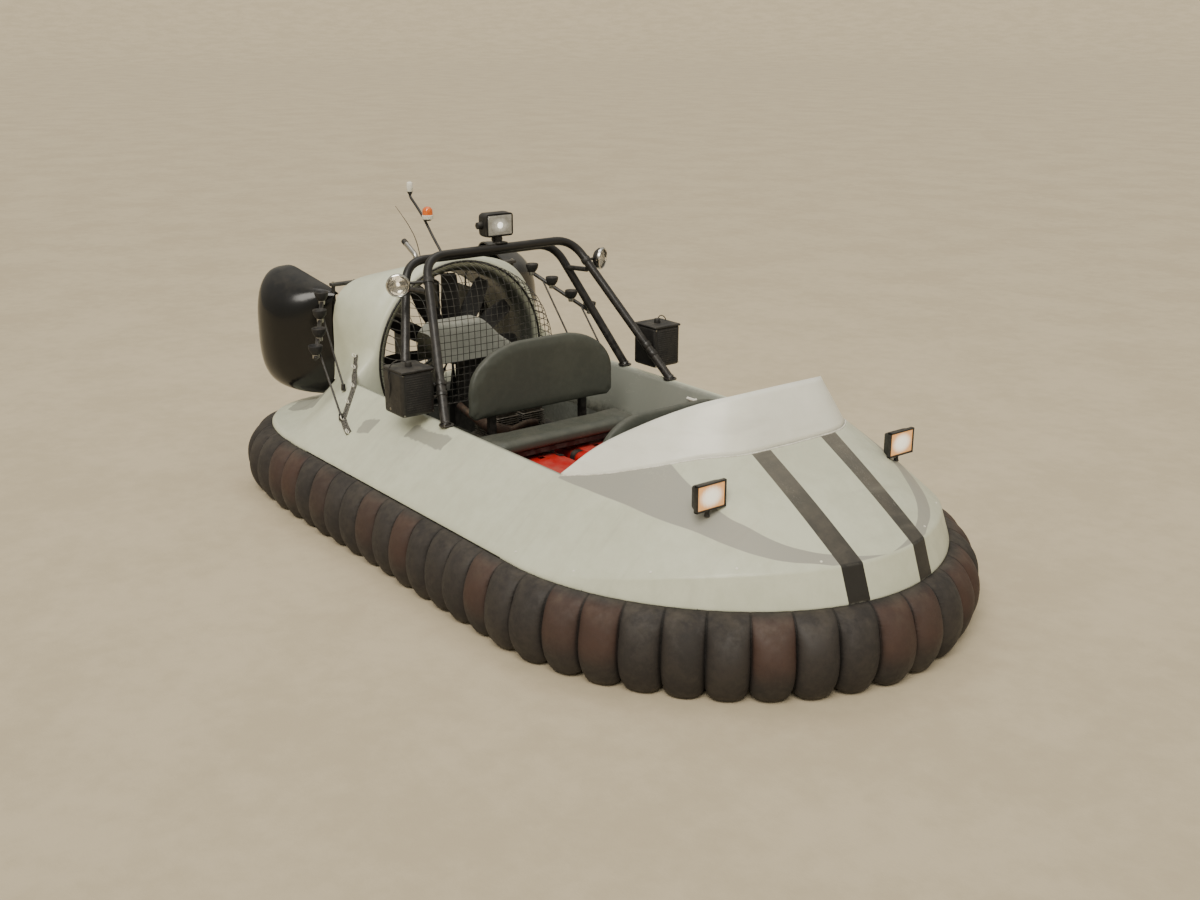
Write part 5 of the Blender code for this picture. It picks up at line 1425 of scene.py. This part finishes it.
def buckets():
    """The two glossy scoops with their rolled rims, hinge rods and knuckles."""
    for name, side in SIDES:

        def form(u, v):
            near = u <= 0.5
            turn = -pi / 2 + pi * (2 * u if near else 2 - 2 * u)
            return mirrored(bucket_point(v, turn, 0.0 if near else BUCKET_WALL), side)

        body = f"{name}_bucket"
        put(f"bucket_{name}_shell", weld(sheet(BUCKET_TURNS * 2, 42, form)), gloss_black, "gloss_black",
            f"reverse_bucket_{name}", body=body, sharp=60)
        rim, hinge = forms(2, side=side)
        for turn in (-pi / 2, pi / 2):
            rim.tube([bucket_edge(i / 40, turn) for i in range(41)], BUCKET_RIM_RADIUS, 10)
        rim.tube([bucket_edge(1.0, -pi / 2 + pi * i / 16) for i in range(17)], BUCKET_RIM_RADIUS, 10)
        x, y, _ = BUCKET_PIVOT
        low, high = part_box(f"reverse_bucket_{name}")[0].z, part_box("bucket_frame")[0].z - 0.0004
        hinge.rod((x, y, low), (x, y, high), 0.0105, sides=20)
        for z in (0.56, 0.78, 1.00):
            hinge.rod((x, y, z - 0.03), (x, y, z + 0.03), 0.0165, sides=20, bevel=0.003)
        rim.put(f"bucket_{name}_rim", gloss_black, "gloss_black", body=body)
        hinge.put(f"bucket_{name}_hinge", frame_black, "satin_black", body=body)


# Engine and cockpit fittings

CYLINDER_Y = 0.085


def engine():
    """The two-cylinder engine in its bay, as far as it shows past the seat."""
    low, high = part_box("engine_block")
    top = high.z - low.z
    castings, leads, exhaust, intakes = forms(4, (0, 0, low.z))
    castings.slab((low.x + 0.02, -0.17, 0), (high.x - 0.03, 0.17, 0.20), 0.03, 3)
    for y in (-CYLINDER_Y, CYLINDER_Y):
        for i in range(11):
            z = 0.205 + 0.0125 * i
            castings.slab((low.x + 0.075, y - 0.074, z), (high.x - 0.085, y + 0.074, z + 0.005), 0.002, 1)
        castings.slab((low.x + 0.095, y - 0.056, 0.19), (high.x - 0.105, y + 0.056, 0.345), 0.01)
        castings.slab((low.x + 0.085, y - 0.066, 0.34), (high.x - 0.095, y + 0.066, 0.372), 0.008)
        leads.stub((-0.78, y, 0.37), 0.035, 0.010, 0.007, 16)
        leads.tube(smooth_line([(-0.78, y, 0.40), (-0.80, y * 1.3, top), (-0.88, y * 1.5, top - 0.01),
                                (-0.95, y * 1.2, top - 0.10)]), 0.004, 8)
        intakes.rod((-0.87, y, 0.27), (-0.94, y, 0.30), 0.024, 0.022, 20, 0.003)
        intakes.rod((-0.94, y, 0.30), (-0.975, y, 0.315), 0.036, 0.034, 24, 0.004)
    leads.slab((high.x - 0.06, -0.24, 0.14), (high.x - 0.01, -0.19, 0.30), 0.01)
    leads.slab((-0.78, 0.18, 0.02), (-0.62, 0.255, 0.24), 0.012)
    main = smooth_line([(-0.66, -0.085, 0.27), (-0.61, -0.12, 0.27), (-0.60, -0.19, 0.29),
                        (-0.64, -0.225, 0.31), (-0.80, -0.228, 0.33), (-0.95, -0.222, 0.36)])
    exhaust.tube(main, lambda share: 0.020 + 0.022 * sin(pi * min(1.0, share * 1.15)) ** 2, 18)
    exhaust.tube(smooth_line([(-0.66, 0.085, 0.27), (-0.62, 0.06, 0.29), (-0.60, -0.02, 0.30),
                              (-0.60, -0.12, 0.28)]), 0.018, 16)
    heads = [(-0.785 + dx, y, 0.371) for dx in (-0.05, 0.05) for y in (-0.13, -0.04, 0.04, 0.13)]
    intakes.bolts(heads, UP, 0.006, 0.006)
    castings.put("engine_castings", cast_metal, "metal_grey", "engine_block")
    leads.put("engine_leads", rubber_black, "satin_black")
    exhaust.put("engine_exhaust", rusty, "metal_grey")
    intakes.put("engine_intakes", steel, "metal_grey")


def drive():
    """The belt case and the pale rounded cover inside the basket."""
    low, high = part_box("engine_cover")
    crown = 0.055

    def form(u, v):
        turn = -pi / 2 + pi * u
        way = (abs(sin(turn)) ** 0.35) * (1 if turn > 0 else -1)
        x = (low.x + high.x) / 2 + (high.x - low.x) / 2 * 0.99 * way
        y = low.y + (high.y - low.y) * v
        top = high.z - (high.z - 0.815) * soft_step((y + 0.02) / 0.20)
        top -= crown * (1 - min(1.0, min(v, 1 - v) * 7.0)) ** 2
        return Vector((x, y, low.z + (top - low.z) * (cos(turn) ** 0.22 if abs(cos(turn)) > 1e-6 else 0.0)))

    put("engine_hood", weld(sheet(32, 40, form)), cover_grey, "cover_grey", "engine_cover", sharp=60)
    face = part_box("drive_housing")[1].x - 0.0005
    fixings = Form()
    fixings.bolts([(face, y, z) for y in (-0.085, -0.03, 0.03, 0.085) for z in (0.32, 0.47)], AHEAD, 0.006)
    fixings.put("belt_case_bolts", steel, "metal_grey")


def tanks():
    """The two red fuel tanks with caps, ribs and straps."""
    for name, _ in SIDES:
        low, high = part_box(f"fuel_tank_{name}")
        size = high - low
        middle = (low.y + high.y) / 2
        tank, straps = forms(2, (low.x, middle, high.z))
        half = size.y / 2
        tank.slab((0.004, 0.004 - half, -size.z), (size.x - 0.004, half - 0.004, -0.020), 0.034, 5)
        tank.slab((0.05, 0.06 - half, -0.035), (size.x - 0.05, half - 0.06, -0.010), 0.012, 4)
        tank.stub((0.09, 0, -0.012), 0.010, 0.030, 0.028, 28, 0.003)
        straps.stub((0.09, 0, -0.004), 0.020, 0.024, 0.022, 28, 0.003)
        for x in (0.20, size.x - 0.06):
            straps.slab((x - 0.014, -half - 0.001, -size.z), (x + 0.014, half + 0.001, -0.017), 0.034, 5)
            straps.slab((x - 0.016, -0.020, -0.019), (x + 0.016, 0.020, -0.010), 0.003)
        straps.tube(smooth_line([(0.09, 0, 0.012), (0.02, 0, 0.05), (-0.05, middle * 0.1, -0.02),
                                 (-0.10, 0, 0.16 - high.z)]), 0.005, 10)
        tank.put(f"tank_{name}_body", tank_red, "tank_red", f"fuel_tank_{name}")
        straps.put(f"tank_{name}_straps", rubber_black, "satin_black")


STEER_X = 1.06
BAR_Z = 0.76
DIALS = ((-0.26, 0.70, 0.038), (-0.16, 0.70, 0.038), (0.16, 0.70, 0.038), (0.26, 0.70, 0.038),
         (-0.21, 0.62, 0.026), (0.21, 0.62, 0.026))


def controls():
    """Grips and levers on the handlebar, and the gauges on the dash."""
    grips, levers = forms(2, (STEER_X, 0, BAR_Z))
    start, end = Vector((-0.030, 0.215, 0)), Vector((-0.0805, 0.344, 0))
    along = (end - start).normalized() * 0.002
    hold = Vector((-0.026, 0.190, 0))
    for side in (1, -1):
        grips.side = levers.side = side
        grips.rod(start, end, 0.0165, 0.0165, 24, 0.003)
        for i in range(7):
            at = start.lerp(end, 0.1 + 0.13 * i)
            grips.rod(at - along, at + along, 0.0178, sides=24, bevel=0.001)
        levers.rod(hold - Vector((0, 0.010, 0)), hold + Vector((0, 0.010, 0)), 0.019, sides=24, bevel=0.002)
        levers.tube(smooth_line([hold + Vector(way) for way in ((0.012, 0, 0), (0.035, 0.03, -0.004),
                                                                (0.010, 0.13, -0.010))]), 0.005, 10)
    levers.slab((-0.030, -0.045, 0.008), (0.028, 0.045, 0.022), 0.005)
    gauges, faces = forms(2, (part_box("dash_console")[0].x, 0, 0))
    for y, z, radius in DIALS:
        profile = [(0.0, radius), (0.010, radius), (0.012, radius * 0.94), (0.010, radius * 0.86),
                   (0.004, radius * 0.84)]
        gauges.turned(profile, (0, y, z), -AHEAD, 32)
        faces.rod((-0.001, y, z), (-0.004, y, z), radius * 0.86, sides=32)
        gauges.rod((-0.004, y, z), (-0.0055, y, z), radius * 0.14, sides=14)
        turn = radians(40 + 90 * y)
        tip = (-0.005, y + radius * 0.6 * sin(turn), z + radius * 0.6 * cos(turn))
        gauges.rod((-0.005, y, z), tip, 0.0014, 0.0006, 8)
    for i in range(6):
        y = -0.09 + 0.036 * i
        gauges.slab((-0.008, y - 0.009, 0.60), (0.001, y + 0.009, 0.63), 0.002)
    grips.put("bar_grips", rubber_black, "satin_black", body="helm")
    levers.put("bar_levers", steel, "metal_grey", body="helm")
    gauges.put("dash_gauges", moulded_black, "satin_black")
    faces.put("dash_dials", dial_face, "lamp_white")


# Racks, mast and small fittings

RACK_CRADLES = [(-1.576, 0.720, 1.053), (-1.464, 0.791, 0.979), (-1.352, 0.857, 0.905),
                (-1.259, 0.928, 0.836)]
# A stay's upper end on the rail, and its foot on the deck
RACK_STAYS = [((-1.520, 0.756, 1.016), (-1.244, 0.785)), ((-1.305, 0.893, 0.870), (-1.040, 0.911))]
# A cradle cup's profile: place up and radius, up the outside and down the bowl
CRADLE_CUP = [(0.006, 0.0), (0.006, 0.020), (0.014, 0.027), (0.028, 0.035), (0.044, 0.039), (0.053, 0.0395),
              (0.0565, 0.037), (0.053, 0.032), (0.040, 0.027), (0.030, 0.016), (0.027, 0.0)]


def stay_floor(name, x, y):
    """The height of a side rack's foot: the solid's own lowest vertex near that place."""
    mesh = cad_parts[f"side_rack_{name}"].data
    return min(vert.co.z for vert in mesh.vertices if hypot(vert.co.x - x, vert.co.y - y) < 0.03)


def racks():
    """Each side's raised rail, its four rubber cradle cups on their knuckles, and its stays."""
    start, end = Vector(RACK_CRADLES[0]), Vector(RACK_CRADLES[-1])
    past = (end - start).normalized() * 0.030
    for name, side in SIDES:
        rail, stays, cups, knuckles = forms(4, side=side)
        rail.rod(start - past, end + past, 0.0118, sides=20, bevel=0.002)
        for x, y, z in RACK_CRADLES:
            knuckles.stub((x, y, z - 0.016), 0.030, 0.0185, sides=20, bevel=0.003)
            cups.turned(CRADLE_CUP, (x, y, z), UP, 28)
        for high, (x, y) in RACK_STAYS:
            floor = stay_floor(name, x, y * side)
            stays.rod(high, (x, y, floor + 0.022), 0.0056, sides=12)
            stays.stub((x, y, floor - 0.004), 0.036, 0.0135, 0.0115, 18, 0.002)
        rail.put(f"rack_rail_{name}", frame_black, "satin_black", f"side_rack_{name}")
        stays.put(f"rack_stays_{name}", frame_black, "satin_black")
        cups.put(f"rack_cradles_{name}", rubber_black, "satin_black")
        knuckles.put(f"rack_knuckles_{name}", alloy, "metal_grey")


MAST_FOOT_X = -1.436
BEACON_BASE = [(0.0, 0.0), (0.0, 0.0320), (0.003, 0.0335), (0.022, 0.0335), (0.024, 0.0305), (0.024, 0.0)]
BEACON_DOME = [(0.0235, 0.0), (0.0235, 0.0308), (0.045, 0.0304), (0.057, 0.0272), (0.066, 0.0195),
               (0.0708, 0.009), (0.0717, 0.0)]
GLOBE = [(0.0, 0.0), (0.0, 0.0165), (0.004, 0.0185), (0.044, 0.0190), (0.052, 0.0165), (0.0575, 0.008),
         (0.0583, 0.0)]


def mast():
    """The raked mast with its beacon, masthead lamp and whip aerial."""
    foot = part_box("mast")[0].z
    pole, base, dome, globe, whip = forms(5)
    pole.tube(smooth_line([(MAST_FOOT_X, 0, foot + 0.004), (MAST_FOOT_X - 0.018, 0, foot + 0.03),
                           (-1.55, 0, 1.352), (-1.650, 0, 1.45), (-1.73, 0, 1.512), (-1.790, 0, 1.555),
                           (-1.795, 0, 1.585)], 6), 0.0078, 16)
    pole.stub((MAST_FOOT_X, 0, foot), 0.009, 0.0245, sides=28, bevel=0.002)
    pole.rod((MAST_FOOT_X, 0, foot + 0.008), (MAST_FOOT_X - 0.005, 0, foot + 0.022), 0.016, 0.010, 20)
    pole.rod((-1.640, 0, 1.442), (-1.600, 0, 1.442), 0.006, sides=14)
    pole.stub((-1.600, 0, 1.438), 0.0098, 0.020, sides=24, bevel=0.001)
    pole.rod((-1.7945, 0, 1.568), (-1.795, 0, 1.5862), 0.0085, 0.018, 22)
    base.turned(BEACON_BASE, (-1.600, 0, 1.4483), UP, 36)
    dome.turned(BEACON_DOME, (-1.600, 0, 1.4483), UP, 36)
    globe.turned(GLOBE, (-1.795, 0, 1.5867), UP, 32)
    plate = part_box("bucket_frame")[1].z
    line = smooth_line([(-1.636, -0.030, plate), (-1.642, -0.031, plate + 0.06), (-1.69, -0.033, 1.315),
                        (-1.76, -0.036, 1.39), (-1.83, -0.040, 1.445), (-1.900, -0.042, 1.492)], 6)
    whip.tube(line, lambda share: 0.0032 - 0.0016 * share, 10)
    whip.rod((-1.636, -0.030, plate), (-1.638, -0.0305, plate + 0.022), 0.008, 0.005, 16)
    pole.put("mast_pole", frame_black, "satin_black", "mast")
    base.put("beacon_base", white_plastic, "lamp_white")
    dome.put("beacon_dome", amber, "beacon_amber", "beacon")
    globe.put("masthead_globe", white_plastic, "lamp_white", "masthead_lamp")
    whip.put("whip_aerial", rubber_black, "satin_black")


def stub_pipe():
    """The bright stub pipe on the cowl with its dark end."""
    low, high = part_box("exhaust_stub")
    pipe, tip = forms(2, (-1.565, (low.y + high.y) / 2, low.z))
    pipe.tube(bent_path([(0, 0, 0), (0, 0, 0.057), (-0.125, 0, 0.1218)], 0.02, 6), 0.0155, 22)
    pipe.stub((0, 0, 0), 0.006, 0.024, sides=24, bevel=0.001)
    tip.rod((-0.107, 0, 0.1125), (-0.135, 0, 0.127), 0.0172, sides=22, bevel=0.002)
    pipe.put("stub_pipe", steel, "metal_grey", "exhaust_stub")
    tip.put("stub_tip", rubber_black, "satin_black")


# The strap's places: along the craft and degrees from straight up on the cowl, then the deck's own measures
STRAP_ON_COWL = [(-1.406, 88.5), (-1.380, 96.0), (-1.340, 100.0), (-1.306, 103.5)]
STRAP_ON_DECK = [(0.740, 0.98), (0.7325, 0.86), (0.725, 0.736), (0.718, 0.62), (0.711, 0.50), (0.700, 0.43),
                 (0.688, 0.37)]
STRAP_WIDTH, STRAP_THICKNESS = 0.034, 0.005


def cowl_spot(x, turn, side):
    """A place on the cowl's flare and its outward direction."""
    here = cowl_point(x, None, side * turn, 1.0)
    aft = cowl_point(x - 0.01, None, side * turn, 1.0) - here
    higher = cowl_point(x, None, side * (turn - 1), 1.0) - here
    out = aft.cross(higher).normalized()
    return here, out if out.y * side > 0 else -out


def straps():
    """The lashing strap with pale rings down the cowl's side and the deck, each side."""
    for name, side in SIDES:
        strap, rings = forms(2)
        spots = [cowl_spot(x, turn, side) for x, turn in STRAP_ON_COWL]
        spots += [deck_point(s, share, side) for s, share in STRAP_ON_DECK]
        for (a, up_a), (b, up_b) in zip(spots, spots[1:]):
            out = (up_a + up_b).normalized()
            along = (b - a).normalized()
            turn = Matrix((along, out.cross(along), out)).transposed().to_4x4()
            size = Matrix.Diagonal(((b - a).length * 1.06, STRAP_WIDTH, STRAP_THICKNESS, 1.0))
            block(strap.bm, Matrix.Translation((a + b) / 2 + out * 0.0025) @ turn @ size, 0.0012, 2)
        for spot, up in spots[::2]:
            beside = up.orthogonal().normalized().cross(up)
            circle = [2 * pi * i / 20 for i in range(21)]
            middle = spot + up * 0.016
            rings.tube([middle + (up * cos(a) + beside * sin(a)) * 0.012 for a in circle], 0.0032, 10)
        strap.put(f"lashing_strap_{name}", speckled, "satin_black")
        rings.put(f"lashing_rings_{name}", white_plastic, "lamp_white")


def small_fixings():
    """Pale screws along the hood's kink, and bolts along the bucket frame's plate."""
    screws, fixings = forms(2)
    for s in (0.075, 0.155, 0.235, 0.315, 0.395):
        for side in (1, -1):
            spot, up = deck_point(s, 0.035, side)
            screws.rod(spot - up * 0.002, spot + up * 0.0022, 0.0062, 0.0052, 18)
    low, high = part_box("bucket_frame")
    x, z = (low.x + high.x) / 2, high.z - 0.0005
    fixings.bolts([(x, side * y, z) for side in (1, -1) for y in (0.08, 0.30, 0.48)], UP, 0.007, 0.005)
    fixings.bolts([(BUCKET_PIVOT.x, side * BUCKET_PIVOT.y, z) for side in (1, -1)], UP, 0.009, 0.006)
    screws.put("hood_screws", white_plastic, "lamp_white")
    fixings.put("frame_bolts", steel, "metal_grey")


# The finishes of the CAD nodes that still show
NODE_FINISHES = (
    (tub_grey_and_shade, "hull_tub"),
    (duct_grey_and_shade, "thrust_floor", "shaft_support", "rudder_port", "rudder_centre", "rudder_starboard"),
    (moulded_black, "landing_skid_port", "landing_skid_starboard", "drive_housing", "dash_console"),
    (frame_black, "bucket_frame", "rear_seat_base", "front_seat_base", "rear_seat_struts",
     "front_seat_struts", "steering_column", "handlebar"),
    (white_plastic, "grab_rail_port", "grab_rail_starboard"),
)


def dress_nodes():
    """Give every CAD node that still shows its own finish."""
    for finish, *names in NODE_FINISHES:
        for name in names:
            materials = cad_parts[name].data.materials
            materials.clear()
            materials.append(finish)


camera()
studio()
for build in (deck, cowl, skirt, windscreen, cushions, hoops, speakers, round_lamps, searchlight, headlamps,
              guard, fan, buckets, engine, drive, tanks, controls, racks, mast, stub_pipe, straps,
              small_fixings, dress_nodes):
    build()
